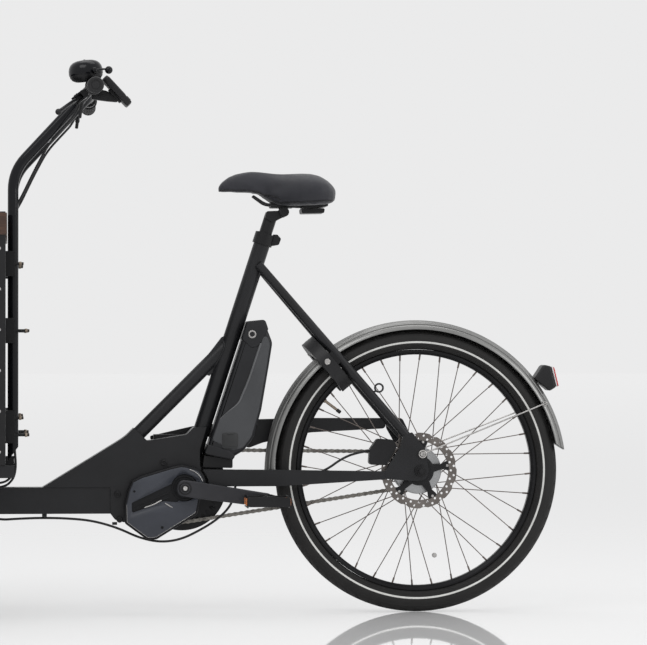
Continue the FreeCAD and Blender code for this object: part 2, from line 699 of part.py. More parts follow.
def chain_loop(offset):
    """The belt-like outline round both wheels, at a distance outside the pitch line."""
    small = sprocket_pitch_radius + offset
    large = ring_pitch_radius + offset
    run_x = -CRANK_X
    run_z = AXLE_Z - CRANK_Z
    distance = math.hypot(run_x, run_z)
    heading = math.atan2(run_z, run_x)
    spread = math.acos((large - small) / distance)
    ends = {}
    for name, radius, x, z in (("large", large, CRANK_X, CRANK_Z), ("small", small, 0.0, AXLE_Z)):
        for word, angle in (("top", heading + spread), ("bottom", heading - spread)):
            ends[name, word] = at(x + radius * math.cos(angle), 0, z + radius * math.sin(angle))
    far_large = at(CRANK_X - large * math.cos(heading), 0, CRANK_Z - large * math.sin(heading))
    far_small = at(small * math.cos(heading), 0, AXLE_Z + small * math.sin(heading))
    return Part.Wire([
        Part.LineSegment(ends["large", "top"], ends["small", "top"]).toShape(),
        Part.Arc(ends["small", "top"], far_small, ends["small", "bottom"]).toShape(),
        Part.LineSegment(ends["small", "bottom"], ends["large", "bottom"]).toShape(),
        Part.Arc(ends["large", "bottom"], far_large, ends["large", "top"]).toShape(),
    ])


PLATE_HALF = 3.9
PLATE_THICKNESS = 1.4
CHAIN_GAP = 4.2
TOOTH_REACH = 37.0


def chain_rollers():
    """The rollers on the two straight runs, where no tooth fills the gap between the plates."""
    centre_line = chain_loop(0.0)
    rollers = []
    for edge in (centre_line.Edges[0], centre_line.Edges[2]):
        start = edge.Vertexes[0].Point
        step = (edge.Vertexes[1].Point - start).normalize() * size("chain_pitch")
        count = int((edge.Length - 2 * TOOTH_REACH) // size("chain_pitch"))
        first = start + step * ((edge.Length / size("chain_pitch") - count + 1) / 2)
        for index in range(count):
            foot = first + step * index + V(0, CHAIN_Y - CHAIN_GAP / 2 - 0.4, 0)
            rollers.append(Part.makeCylinder(3.6, CHAIN_GAP + 0.8, foot, V(0, 1, 0)))
    return rollers


band = Part.Face([chain_loop(PLATE_HALF), chain_loop(-PLATE_HALF)])
band.validate()
side_plates = []
for side in (LEFT, RIGHT):
    sheet_y = CHAIN_Y + side * CHAIN_GAP / 2
    side_band = band.extrude(V(0, side * PLATE_THICKNESS, 0))
    side_band.translate(V(0, sheet_y, 0))
    side_plates.append(side_band)
chain = doc.addObject("Part::Feature", "chain")
chain.Shape = side_plates[0].multiFuse([side_plates[1], *chain_rollers()])
chain.Placement = FreeCAD.Placement()
node("chain", chain)


def toothed_wheel(name, x, z, teeth, pitch_radius, bore, turn, windows=0):
    """A chain wheel with its teeth between the chain's side plates."""
    body = new_body(name, FreeCAD.Placement(at(x, CHAIN_Y, z), FreeCAD.Rotation(V(0, 1, 0), -turn)))
    outline = new_sketch(body, "teeth")
    root = pitch_radius - 4.2
    tip = pitch_radius + 3.6
    corners = []
    for index in range(int(teeth)):
        for radius, share in ((root, 0.0), (root, 0.3), (tip, 0.55), (tip, 0.75)):
            corners.append(polar(radius, 360 / teeth * (index + share)))
    draw_outline(outline, corners)
    draw_circle(outline, 0, 0, bore)
    pad(body, outline, 2.4)
    if windows:
        openings = new_sketch(body, "windows")
        for index in range(windows):
            middle = index * 360 / windows
            inner = [polar(bore + 9, middle + turn_by) for turn_by in (-18, 18)]
            outer = [polar(root - 12, middle + turn_by) for turn_by in (24, -24)]
            draw_outline(openings, [(*corner, 4) for corner in (*inner, *outer)])
        pocket(body, openings, 10.0)
    return body


node("rear_sprocket", toothed_wheel("rear_sprocket", 0, AXLE_Z, size("sprocket_teeth"),
                                    sprocket_pitch_radius, 12 + size("running_clearance"), 0.0))
ring = toothed_wheel("chainring_teeth_ring", CRANK_X, CRANK_Z, size("chainring_teeth"),
                     ring_pitch_radius, 18.0, 0.0, windows=5)
guard_ring = ring_body("chain_guard_disc", CRANK_X, 55.0, CRANK_Z, "40", "95", 2.0)
guard_arms = []
for index in range(5):
    arm_x, arm_z = polar(60.0, 36 + index * 72)
    far_x, far_z = polar(86.0, 36 + index * 72)
    arm = cylinder(f"guard_arm_{index}", 3.5, at(CRANK_X + arm_x, 55, CRANK_Z + arm_z),
                   at(CRANK_X + far_x, 55, CRANK_Z + far_z))
    post = crosswise(f"guard_post_{index}", 3.5, CRANK_X + arm_x, CRANK_Z + arm_z, 49, 57)
    guard_arms += [arm, post]
node("chainring", joined("chainring", [ring, guard_ring, *guard_arms]))


# ---------------------------------------------------------------- cranks and pedals
def crank_arm(name, side, direction):
    """One crank arm along a direction in the X, Z plane, with an eye at each end."""
    length = size("crank_length")
    y = side * 80.0
    body = new_body(name, FreeCAD.Placement(at(CRANK_X, y, CRANK_Z), FreeCAD.Rotation(V(0, 1, 0), -direction)))
    outline = new_sketch(body, "outline")
    draw_outline(outline, [
        (-17, -17, 15), (20, -17.5, 20), (length - 12, -15, 20), (length + 15, -15, 13),
        (length + 15, 15, 13), (length - 12, 15, 20), (20, 17.5, 20), (-17, 17, 15),
    ])
    pad(body, outline, 11.0)
    soften(body, 11.0, 3.0)
    return body


LEFT_CRANK_ANGLE = -size("crank_droop")
pedal_offset = {LEFT: polar(size("crank_length"), LEFT_CRANK_ANGLE),
                RIGHT: polar(size("crank_length"), LEFT_CRANK_ANGLE + 180)}
spindle = crosswise("crank_spindle", "Sizes.spindle_radius", CRANK_X, CRANK_Z, -74.5, 74.5)
boss_cap = crosswise("crank_cap_left", 10.5, CRANK_X, CRANK_Z, -85.5, -87.5)
pedal_axles = {}
for side in (LEFT, RIGHT):
    axle_x, axle_z = (CRANK_X + pedal_offset[side][0], CRANK_Z + pedal_offset[side][1])
    pedal_axles[side] = crosswise(f"pedal_axle_{side + 1}", "7", axle_x, axle_z, side * 74.6, side * 178)
node("left_crank", joined("left_crank", [
    crank_arm("left_arm_blade", LEFT, LEFT_CRANK_ANGLE), spindle, boss_cap, pedal_axles[LEFT]]))
right_spider = crosswise("right_spider", 17.9, CRANK_X, CRANK_Z, 46.8, 74.6)
spider_bore = crosswise("right_spider_bore", "Sizes.spindle_radius", CRANK_X, CRANK_Z, 30, 74.5)
right_arm = crank_arm("right_arm_blade", RIGHT, LEFT_CRANK_ANGLE + 180)
right_crank_weld = joined("right_crank_weld", [right_arm, right_spider, pedal_axles[RIGHT]])
node("right_crank", cut("right_crank", right_crank_weld, [spider_bore]))


def pedal(word, side):
    """A cage pedal: two rails, two end plates and a barrel that runs on the crank's pedal axle."""
    x = CRANK_X + pedal_offset[side][0]
    z = CRANK_Z + pedal_offset[side][1]
    inner = side * 92.0
    outer = side * 186.0
    low, high = sorted((inner, outer))
    barrel = crosswise(f"{word}_barrel", 11, x, z, low, high)
    bore = crosswise(f"{word}_barrel_bore", "7 + Sizes.running_clearance", x, z, *sorted((side * 80, side * 180)))
    parts = [barrel]
    for index, x_side in enumerate((LEFT, RIGHT)):
        rail_x = sorted((x + x_side * 38, x + x_side * 45))
        parts.append(block(f"{word}_rail_{index}", rail_x, (low, high), (z - 13, z + 13)))
    for index, y in enumerate((low, high - 7, (low + high) / 2 - 3.5)):
        parts.append(block(f"{word}_bar_{index}", (x - 40, x + 40), (y, y + 7), (z - 8, z + 8)))
    return cut(f"{word}_pedal", joined(f"{word}_pedal_weld", parts), [bore])


node("left_pedal", pedal("left", LEFT))
node("right_pedal", pedal("right", RIGHT))

# ---------------------------------------------------------------- battery
battery_frame = FreeCAD.Placement(by_seat_tube(0, 0), FreeCAD.Rotation(V(0, 1, 0), 90 - size("seat_angle")))
battery = new_body("battery_shell", battery_frame)
battery_outline = new_sketch(battery, "outline")
draw_outline(battery_outline, [
    (20.5, 374, 6), (53.5, 388, 12), (84, 348, 20), (91, 301, 60), (105, 205, 60), (107, 143, 30),
    (96, 111, 24), (79.5, 92, 10), (20.5, 82, 6),
])
pad(battery, battery_outline, "Sizes.battery_width")
soften(battery, size("battery_width"), 7.0)
key_barrel = crosswise("key_barrel", 8, -352, 588, -46, -38)
key_slot = block("key_slot", (-353, -351), (-47, -45), (584, 592))
key_seat = crosswise("key_seat", 8, -352, 588, -60, -38)
port_seat = block("port_seat", (-416, -381), (-44, -40), (347, 382))
node("battery_case", grouped("battery_case", [
    cut("battery_body", battery, [key_seat, port_seat]), cut("battery_lock", key_barrel, [key_slot])]))
node("port_cover", plate("port_plate", [
    (-415.6, 347.4, 4), (-415.6, 381.6, 4), (-381.4, 381.6, 4), (-381.4, 347.4, 4)], 3.2, y=-42.2))
mount_outline = [(-455, 308, 3), (-392, 306, 3), (-392, 324), (-452, 333)]
mount = plate("mount_block", mount_outline, 50.0)
fittings.append(cut("battery_mount", mount, [seat_cutter, motor_room]))

# ---------------------------------------------------------------- mudguards
GUARD_CENTRE = (-1.0, 296.0)


def guard_shell(name, x, y, z, first, last):
    """A mudguard: a shallow arched section turned through part of a circle."""
    crown = size("guard_radius")
    half = size("guard_width") / 2
    thick = size("guard_wall")
    profile = [
        (crown - 27, -half), (crown - 10, -half + 4, 8), (crown, -half + 16, 14), (crown, half - 16, 14),
        (crown - 10, half - 4, 8), (crown - 27, half), (crown - 27, half - thick),
        (crown - 10 - thick, half - 4 - thick, 8), (crown - thick, half - 16 - thick, 14),
        (crown - thick, -half + 16 + thick, 14), (crown - 10 - thick, -half + 4 + thick, 8),
        (crown - 27, -half + thick),
    ]
    return turned_piece(name, x, y, z, profile, angle=last - first, start=first)


rear_guard = guard_shell("rear_guard", GUARD_CENTRE[0], 0, GUARD_CENTRE[1], 8.3, 181.5)
guard_wires = []
for word, side in (("left", LEFT), ("right", RIGHT)):
    start = at(4.5, side * 80, 336)
    end = at(271, side * 33, 441)
    guard_wires.append(cylinder(f"guard_wire_{word}", 1.8, start, end))
    guard_wires.append(crosswise(f"guard_wire_bolt_{word}", 5.5, 4.5, 336, side * 74.6, side * 84))
    guard_wires.append(crosswise(f"guard_clip_{word}", 6.0, 271, 441, side * 29.0, side * 36))
guard_welds = [joined(f"guard_stay_{index}", guard_wires[3 * index:3 * index + 3]) for index in (0, 1)]
node("rear_mudguard", grouped("rear_mudguard", [rear_guard, *guard_welds]))

# tail light on the mudguard
light = plate("light_body", [(250, 494, 5), (270, 524, 8), (286, 520, 4), (297, 476, 4), (283, 467, 6)], 52.0)
soften(light, 52.0, 5.0)
guard_solid = turned_piece("guard_solid", GUARD_CENTRE[0], 0, GUARD_CENTRE[1], [
    (0, -40), (0, 40), (size("guard_radius"), 40), (size("guard_radius"), -40)])
node("tail_light", cut("tail_light", light, [guard_solid]))
lens = plate("lens_body", [(286.8, 519.5), (297.6, 476.5), (302.0, 478, 2), (291.5, 518, 2)], 46.0)
node("tail_light_lens", lens)

# ---------------------------------------------------------------- rear brake
caliper_block = plate("caliper_block", [
    (-108, 314, 6), (-106, 346, 10), (-90, 368, 8), (-56, 366, 8), (-48, 352, 6), (-70, 312, 8),
], 25.0, y=-53.5)
ROTOR_GAP = [(0, -2.2), (82, -2.2), (82, 2.2), (0, 2.2)]
rotor_gap = turned_piece("rotor_gap", 0, -52.0, AXLE_Z, ROTOR_GAP)
hub_gap = crosswise("hub_gap", 66, 0, AXLE_Z, -80, -30)
node("rear_caliper", cut("rear_caliper", caliper_block, [rotor_gap, hub_gap, stay_bars[0]]))

hose_under = [at(x, y, z) for x, y, z in (
    (-940, -10, 213), (-887, -12, 198), (-840, -12, 201), (-788, -12, 202.5), (-735, -14, 201), (-685, -16, 196),
    (-633, -22, 181), (-588, -30, 160), (-543, -34, 151), (-501, -34, 157), (-462, -36, 176), (-428, -40, 197),
    (-402, -43, 221), (-390, -43, 246), (-387, -43, 272))]
hose_over = [at(x, y, z) for x, y, z in (
    (-216, -56, 296), (-196, -56, 303), (-166, -55, 325), (-136, -55, 338), (-104, -54, 343))]
node("rear_brake_hose", grouped("rear_brake_hose", [
    cut("hose_front", hose("hose_front_whole", hose_under), [left_stay, spar_outside]),
    cut("hose_rear", hose("hose_rear_whole", hose_over), [left_stay, caliper_block]),
]))

# ---------------------------------------------------------------- ring lock
LOCK_TILT = math.degrees(math.atan2(0.761, 0.648))
LOCK_CENTRE = at(-189.0, 0, 522.4)
OPENING_HALF = 29.0
# local X runs along +Y of the cycle, local Y up the lock, local Z out of its face to the rear
lock_x = V(0, 1, 0)
lock_y = V(-math.cos(math.radians(LOCK_TILT)), 0, math.sin(math.radians(LOCK_TILT)))
lock_z = lock_x.cross(lock_y)
lock_frame = FreeCAD.Placement(LOCK_CENTRE, FreeCAD.Rotation(lock_x, lock_y, lock_z, "ZXY"))


def lock_piece(kind, name, offset=V(0, 0, 0), turn=0.0):
    """A primitive placed in the lock's own frame, turned about its middle."""
    part = doc.addObject(kind, name)
    spin = FreeCAD.Placement(V(0, 0, 0), FreeCAD.Rotation(V(0, 0, 1), turn))
    part.Placement = lock_frame.multiply(spin).multiply(FreeCAD.Placement(offset, FreeCAD.Rotation()))
    return part


lock_disc = lock_piece("Part::Cylinder", "lock_disc", V(0, 0, -size("lock_width") / 2))
lock_disc.setExpression("Radius", "Sizes.lock_outer_radius")
lock_disc.setExpression("Height", "Sizes.lock_width")
lock_hole = lock_piece("Part::Cylinder", "lock_hole", V(0, 0, -40))
lock_hole.setExpression("Radius", "Sizes.lock_inner_radius")
lock_hole.Height = 80
lock_mouth = lock_piece("Part::Box", "lock_mouth", V(-OPENING_HALF, -100, -40))
lock_mouth.Length = 2 * OPENING_HALF
lock_mouth.Width = 100
lock_mouth.Height = 80
lock_channel = lock_piece("Part::Torus", "lock_channel")
lock_channel.setExpression("Radius1", "Sizes.shackle_path_radius")
lock_channel.setExpression("Radius2", "Sizes.shackle_radius + 0.3")
# the lever's slot goes through the outer wall, from 6 to 100 degrees past the top
slot = lock_piece("Part::Cylinder", "lever_slot", V(0, 0, -4))
slot.Radius = 80
slot.Height = 8
slot.Angle = 104
slot.Placement = slot.Placement.multiply(FreeCAD.Placement(V(0, 0, 0), FreeCAD.Rotation(V(0, 0, 1), -42)))
slot_core = lock_piece("Part::Cylinder", "lever_slot_core", V(0, 0, -5))
slot_core.Radius = 54
slot_core.Height = 10
lever_slot = cut("lever_slot_cut", slot, [slot_core])
lock_core = cut("lock_body_core", lock_disc, [lock_hole, lock_mouth, lock_channel, lever_slot])
node("lock_body", lock_core)
pads = []
for side in (LEFT, RIGHT):
    pad_block = lock_piece("Part::Box", f"lock_pad_{side + 1}", V(side * 46 - 7, -10, size("lock_width") / 2))
    pad_block.Length = 14
    pad_block.Width = 30
    pad_block.Height = 9
    pads.append(cut(f"lock_pad_cut_{side + 1}", pad_block, stay_bars))
fittings += pads

node("frame_fittings", cut("frame_fittings", grouped("fitting_group", fittings), [
    doc.getObject("hose_front_whole"), spar_outside, bridge]))

# the shackle: an arc inside the body at rest, with a lever that reaches out through the slot
SHACKLE_START = -50.0
SHACKLE_SWEEP = 108.0
shackle_bar = lock_piece("Part::Torus", "shackle_bar", turn=SHACKLE_START)
shackle_bar.setExpression("Radius1", "Sizes.shackle_path_radius")
shackle_bar.setExpression("Radius2", "Sizes.shackle_radius")
shackle_bar.Angle3 = SHACKLE_SWEEP
LEVER_ANGLE = SHACKLE_START + SHACKLE_SWEEP - 4
lever_stem = doc.addObject("Part::Cylinder", "lever_stem")
lever_stem.Radius = 3.0
lever_stem.Height = 20
lever_x, lever_y = polar(54.5, LEVER_ANGLE)
lever_out = lock_frame.Rotation.multVec(V(lever_x, lever_y, 0))
lever_stem.Placement = turned(LOCK_CENTRE + lever_out, lever_out)
knob = doc.addObject("Part::Cylinder", "lever_knob")
knob.Radius = 7.0
knob.Height = 6
knob.Placement = turned(LOCK_CENTRE + lever_out * (71.0 / 54.5), lever_out)
node("lock_shackle", joined("lock_shackle", [shackle_bar, lever_stem, knob]))

# ---------------------------------------------------------------- saddle
post_top = by_seat_tube(600, 0)
post = cylinder("post_bar", "Sizes.seatpost_radius", by_seat_tube(315, 0), post_top)
head_block = plate("post_head", [
    (-324, 834, 6), (-319, 848, 4), (-294, 849, 4), (-288, 852, 3), (-276, 852, 5), (-276, 839, 5), (-291, 832, 6),
    (-306, 824, 8)], 36.0)
clamp_bolt = crosswise("clamp_bolt", 5.0, -283, 846, -24, 24)
knobs = [crosswise(f"clamp_knob_{side + 1}", 10, -283, 846, side * 24, side * 31) for side in (LEFT, RIGHT)]
rails = []
for side in (LEFT, RIGHT):
    y = side * 22.0
    rails.append(bent_bar(f"saddle_rail_{side + 1}", [
        at(-348, side * 12.0, 880), at(-322, y, 862), at(-240, y, 858), at(-200, side * 34.0, 868)],
        [30, 60], "hose_radius"))
cradle = plate("rail_cradle", [(-312, 855, 3), (-312, 868, 4), (-262, 865, 4), (-262, 855, 3)], 47.2)
bumper = plate("rear_bumper", [(-246, 843, 3), (-247, 854, 3), (-197, 854, 3), (-199, 844, 3)], 60.0)
bumper_top = plate("rear_bumper_top", [(-243, 853, 2), (-243, 862, 3), (-195, 866, 3), (-189, 858, 3)], 90.0)
ears = []
for side in (LEFT, RIGHT):
    ears.append(crosswise(f"saddle_ear_{side + 1}", 8.0, -283, 846, side * 18.6, side * 23.6))
    ears.append(block(f"saddle_ear_web_{side + 1}", (-291, -275), sorted((side * 18.6, side * 23.6)), (846, 858)))
rail_weld = joined("rail_weld", [*rails, cradle, bumper, bumper_top, *ears])
clamp_room = crosswise("clamp_room", "5.05", -283, 846, -60, 60)

SADDLE_SIDE = [
    (-425, 888, 9), (-408, 911, 20), (-361, 931, 20), (-318, 927, 40), (-276, 925.5, 60), (-236, 928, 30),
    (-184, 912, 20), (-169, 880, 9), (-174, 862, 4), (-205, 863, 20), (-252, 859, 30), (-306, 858.5, 14),
    (-330, 873, 30), (-362, 884, 40),
]
SADDLE_TOP = [
    (-424, -16, 14), (-424, 16, 14), (-375, 22, 60), (-310, 34, 60), (-255, 92, 50), (-205, 102.5, 40),
    (-170, 70, 40), (-168, 0), (-170, -70, 40), (-205, -102.5, 40), (-255, -92, 50), (-310, -34, 60),
    (-375, -22, 60),
]
side_form = plate("saddle_side_form", SADDLE_SIDE, "Sizes.saddle_width")
top_form = new_body("saddle_top_form")
top_outline = new_sketch(top_form, "outline", "XY_Plane")
draw_outline(top_outline, SADDLE_TOP)
pad(top_form, top_outline, 2000.0)
cushion = doc.addObject("Part::Common", "saddle_cushion")
cushion.Base = side_form
cushion.Tool = top_form
node("saddle_cover", cut("saddle_cover", cushion, [rail_weld]))
node("saddle_frame", cut("saddle_frame", rail_weld, [clamp_room]))
node("seatpost", joined("seatpost", [post, head_block, *knobs, clamp_bolt]))

# ---------------------------------------------------------------- cargo box
REAR = size("box_rear_x")
BOX_HALF = size("box_width") / 2
PLY = size("box_wall")
BOTTOM = size("box_bottom")
TOP = size("box_top")
FRONT_TOP = REAR - size("box_top_length")
FRONT_LOW = REAR - size("box_floor_length")


def side_panel(name, side):
    """A side wall: upright at the rear, leaning out at the front."""
    corners = [(FRONT_LOW, BOTTOM), (FRONT_TOP, TOP), (REAR, TOP), (REAR, BOTTOM)]
    return plate(name, corners, "Sizes.box_wall", y=side * (BOX_HALF - PLY / 2))


lean = (FRONT_TOP - FRONT_LOW) / (TOP - BOTTOM)
rear_wall = block("rear_wall", (REAR - PLY, REAR), (-BOX_HALF + PLY, BOX_HALF - PLY), (BOTTOM, TOP))
front_corners = [(FRONT_LOW, BOTTOM), (FRONT_TOP, TOP), (FRONT_TOP + PLY, TOP), (FRONT_LOW + PLY, BOTTOM)]
front_wall = plate("front_wall", front_corners, 2 * (BOX_HALF - PLY))
node("box_walls", grouped("box_walls", [
    side_panel("left_panel", LEFT), side_panel("right_panel", RIGHT), rear_wall, front_wall]))
FLOOR_TOP = BOTTOM + PLY
floor = plate("floor_panel", [
    (FRONT_LOW + PLY + 1, BOTTOM), (FRONT_LOW + PLY + 1 + lean * PLY, FLOOR_TOP), (REAR - PLY - 1, FLOOR_TOP),
    (REAR - PLY - 1, BOTTOM)], 2 * (BOX_HALF - PLY) - 2)
node("box_floor", floor)

# aluminium angles on the box's rear and front corners and a flat strip on its rim
corner_parts = []
for word, side in (("left", LEFT), ("right", RIGHT)):
    y = side * BOX_HALF
    angle_y = sorted((y, y + side * 2.0))
    corner_parts.append(block(f"rear_angle_{word}", (REAR - 24, REAR), angle_y, (BOTTOM, TOP)))
    corner_parts.append(plate(f"front_angle_{word}", [
        (FRONT_LOW, BOTTOM), (FRONT_TOP, TOP), (FRONT_TOP + 24, TOP), (FRONT_LOW + 24, BOTTOM)], 2.0,
        y=y + side * 1.0))
    strip_y = sorted((y + side * 2, y - side * PLY))
    corner_parts.append(block(f"rim_strip_{word}", (FRONT_TOP, REAR), strip_y, (TOP, TOP + 2)))
inner_width = (-BOX_HALF + PLY, BOX_HALF - PLY)
for index, x in enumerate((REAR - PLY, FRONT_TOP)):
    corner_parts.append(block(f"rim_strip_{index}", (x, x + PLY), inner_width, (TOP, TOP + 2)))
node("box_trim", grouped("box_trim", corner_parts))

# ---------------------------------------------------------------- front frame
RAIL_TOP = BOTTOM - 0.5
RAIL_LOW = RAIL_TOP - 25
BEAM_LOW = SPAR_TOP + 4.5
WHEEL_X = size("front_wheel_x")
WHEEL_Y = size("front_wheel_y")
TUBE_WALL = 2.5
frame_parts = [
    cylinder("kingpin", "Sizes.kingpin_radius", at(PIVOT_X, 0, SPAR_BOTTOM - 12), at(PIVOT_X, 0, RAIL_LOW)),
    cylinder("kingpin_nut", 19, at(PIVOT_X, 0, SPAR_BOTTOM - 22), at(PIVOT_X, 0, SPAR_BOTTOM - 11)),
]
frame_hollows = []


def square_tube(name, x, y, z):
    """A closed box section of the front frame, with the space inside it kept for one cut."""
    frame_parts.append(block(name, x, y, z))
    inside = [(low + TUBE_WALL, high - TUBE_WALL) for low, high in (x, y, z)]
    frame_hollows.append(block(name + "_hollow", *inside))


WHEEL_SPAN = (WHEEL_X - 30, WHEEL_X + 30)
square_tube("beam", WHEEL_SPAN, (-BOX_HALF, BOX_HALF), (BEAM_LOW, RAIL_LOW))
square_tube("cross_rear", (-955, -930), (-BOX_HALF + 25, BOX_HALF - 25), (RAIL_LOW - 23, RAIL_TOP))
square_tube("cross_front", (FRONT_LOW + 10, FRONT_LOW + 35), (-BOX_HALF, BOX_HALF), (RAIL_LOW, RAIL_TOP))
for word, side in (("left", LEFT), ("right", RIGHT)):
    rail_y = sorted((side * BOX_HALF, side * (BOX_HALF - 25)))
    square_tube(f"rail_{word}", (FRONT_LOW + 10, -850), rail_y, (RAIL_LOW, RAIL_TOP))
    leg_y = sorted((side * (BOX_HALF + 2.5), side * (BOX_HALF + 14)))
    frame_parts.append(block(f"axle_leg_{word}", WHEEL_SPAN, leg_y, (BEAM_LOW, AXLE_Z + 24)))
    shelf_y = sorted((side * (BOX_HALF - TUBE_WALL), side * (BOX_HALF + 8)))
    frame_parts.append(block(f"axle_shelf_{word}", WHEEL_SPAN, shelf_y, (BEAM_LOW, RAIL_LOW)))
    frame_parts.append(crosswise(f"stub_axle_{word}", "Sizes.stub_axle_radius", WHEEL_X, AXLE_Z,
                                 side * (BOX_HALF + 8), side * (WHEEL_Y + 34)))
    frame_parts.append(crosswise(f"stub_cap_{word}", 12, WHEEL_X, AXLE_Z,
                                 side * (WHEEL_Y + 33.2), side * (WHEEL_Y + 40)))
    frame_parts.append(crosswise(f"stub_collar_{word}", 14, WHEEL_X, AXLE_Z,
                                 side * (BOX_HALF + 10), side * (WHEEL_Y - 46)))
node("front_frame", cut("front_frame", joined("front_frame_weld", frame_parts), frame_hollows))

front_guards = []
for word, side in (("left", LEFT), ("right", RIGHT)):
    y = side * WHEEL_Y
    front_guards.append(guard_shell(f"front_guard_{word}", WHEEL_X, y, AXLE_Z, 12.0, 168.0))
    for index, angle in enumerate((50.0, 130.0)):
        x, z = polar(size("guard_radius") - 16, angle)
        inner_y = side * (BOX_HALF + 0.2)
        outer_y = side * (WHEEL_Y - size("guard_width") / 2 + 3.6)
        front_guards.append(crosswise(f"guard_bracket_{word}_{index}", 5, WHEEL_X + x, AXLE_Z + z,
                                      *sorted((inner_y, outer_y))))
welded_guards = [joined("left_front_guard", front_guards[:3]), joined("right_front_guard", front_guards[3:])]
node("front_mudguards", grouped("front_mudguards", welded_guards))

front_calipers = []
for word, side in (("left", LEFT), ("right", RIGHT)):
    y = side * (WHEEL_Y - 44)
    caliper = plate(f"front_caliper_block_{word}", [
        (WHEEL_X + 46, AXLE_Z + 34, 6), (WHEEL_X + 46, AXLE_Z + 60, 10), (WHEEL_X + 62, AXLE_Z + 78, 8),
        (WHEEL_X + 96, AXLE_Z + 60, 8), (WHEEL_X + 100, AXLE_Z + 26, 6), (WHEEL_X + 74, AXLE_Z + 20, 8)], 25.0, y=y)
    gap = turned_piece(f"front_rotor_gap_{word}", WHEEL_X, y, AXLE_Z, ROTOR_GAP)
    arm_y = sorted((side * (BOX_HALF + 2.5), side * (BOX_HALF + 19)))
    arm = block(f"caliper_arm_{word}", (WHEEL_X + 29, WHEEL_X + 84), arm_y, (AXLE_Z + 8, AXLE_Z + 22))
    arm_up = block(f"caliper_arm_up_{word}", (WHEEL_X + 68, WHEEL_X + 84), arm_y, (AXLE_Z + 8, AXLE_Z + 46))
    whole = cut(f"front_caliper_{word}", joined(f"caliper_weld_{word}", [caliper, arm, arm_up]),
                [gap, doc.getObject(f"axle_leg_{word}")])
    front_calipers.append(whole)
node("front_calipers", grouped("front_calipers", front_calipers))

# ---------------------------------------------------------------- handlebar
BAR_X = size("bar_x")
BAR_Y = size("bar_half_spacing")
GRIP_END = 335.0
GRIP_BACK = 2.0
GRIP_DROP = 12.0
ELBOW = (-690.0, 1100.0)
BAR_BENDS = (95, 40)
BEND_Z = 924.0
bar_tubes = []
bar_bores = []
slant = plate("slant_cutter", [
    (-880, 300), (-880, 322), (-863, 327), (-838, 361), (-820, 361), (-820, 300)], 400.0)
for word, side in (("left", LEFT), ("right", RIGHT)):
    route = [at(BAR_X, side * BAR_Y, 320), at(BAR_X, side * BAR_Y, BEND_Z), at(ELBOW[0], side * BAR_Y, ELBOW[1]),
             at(ELBOW[0] + GRIP_BACK, side * GRIP_END, ELBOW[1] - GRIP_DROP)]
    tube = bent_bar(f"bar_tube_{word}", route, BAR_BENDS, "bar_radius")
    bar_bores.append(bent_bar(f"bar_bore_{word}", route, BAR_BENDS, "bar_bore_radius"))
    bar_tubes.append(cut(f"bar_slanted_{word}", tube, [slant]))
cross_x = BAR_X + 0.45 * (ELBOW[0] - BAR_X)
cross_z = BEND_Z + 0.45 * (ELBOW[1] - BEND_Z)
cross = crosswise("bar_cross", 8, cross_x, cross_z, -BAR_Y + 6, BAR_Y - 6)
bar_weld = joined("bar_weld", [*bar_tubes, cross])
node("handlebar", cut("handlebar", bar_weld, bar_bores))

# three clamps hold each upright to the box; a bolt's reach is how far it stands out behind the bar
CLAMPS = (
    (397.0, 34.0, ((380.0, 22.0), (415.0, 10.0))),
    (595.0, 26.0, ((595.0, 22.0),)),
    (733.0, 26.0, ((733.0, 10.0),)),
)
clamp_parts = []
for word, side in (("left", LEFT), ("right", RIGHT)):
    for index, (z, half_height, bolts) in enumerate(CLAMPS):
        across = (side * BAR_Y - 24, side * BAR_Y + 24)
        saddle_block = block(f"bar_clamp_{word}_{index}", (REAR + 0.2, BAR_X + 4), across,
                             (z - half_height, z + half_height))
        pieces = [cut(f"bar_clamp_cut_{word}_{index}", saddle_block, bar_tubes)]
        for count, (bolt_z, reach) in enumerate(bolts):
            for lean in (LEFT, RIGHT):
                bolt_y = side * BAR_Y + lean * 18
                behind = BAR_X + size("bar_radius") + reach
                pieces.append(cylinder(f"clamp_bolt_{word}_{index}_{count}_{lean + 1}", 3.0,
                                       at(BAR_X - 2, bolt_y, bolt_z), at(behind, bolt_y, bolt_z)))
        clamp_parts.append(joined(f"bar_clamp_weld_{word}_{index}", pieces))
node("bar_clamps", grouped("bar_clamps", clamp_parts))


def on_bar(side, reach):
    """A point on the bar's axis at a distance from the middle plane."""
    share = (reach - BAR_Y) / (GRIP_END - BAR_Y)
    return at(ELBOW[0] + GRIP_BACK * share, side * reach, ELBOW[1] - GRIP_DROP * share)


grips = []
for word, side in (("left", LEFT), ("right", RIGHT)):
    sleeve = cylinder(f"grip_{word}", "Sizes.grip_radius", on_bar(side, 222), on_bar(side, GRIP_END + 4))
    grips.append(cut(f"grip_cut_{word}", sleeve, [bar_tubes[0 if side == LEFT else 1]]))
node("grips", grouped("grips", grips))

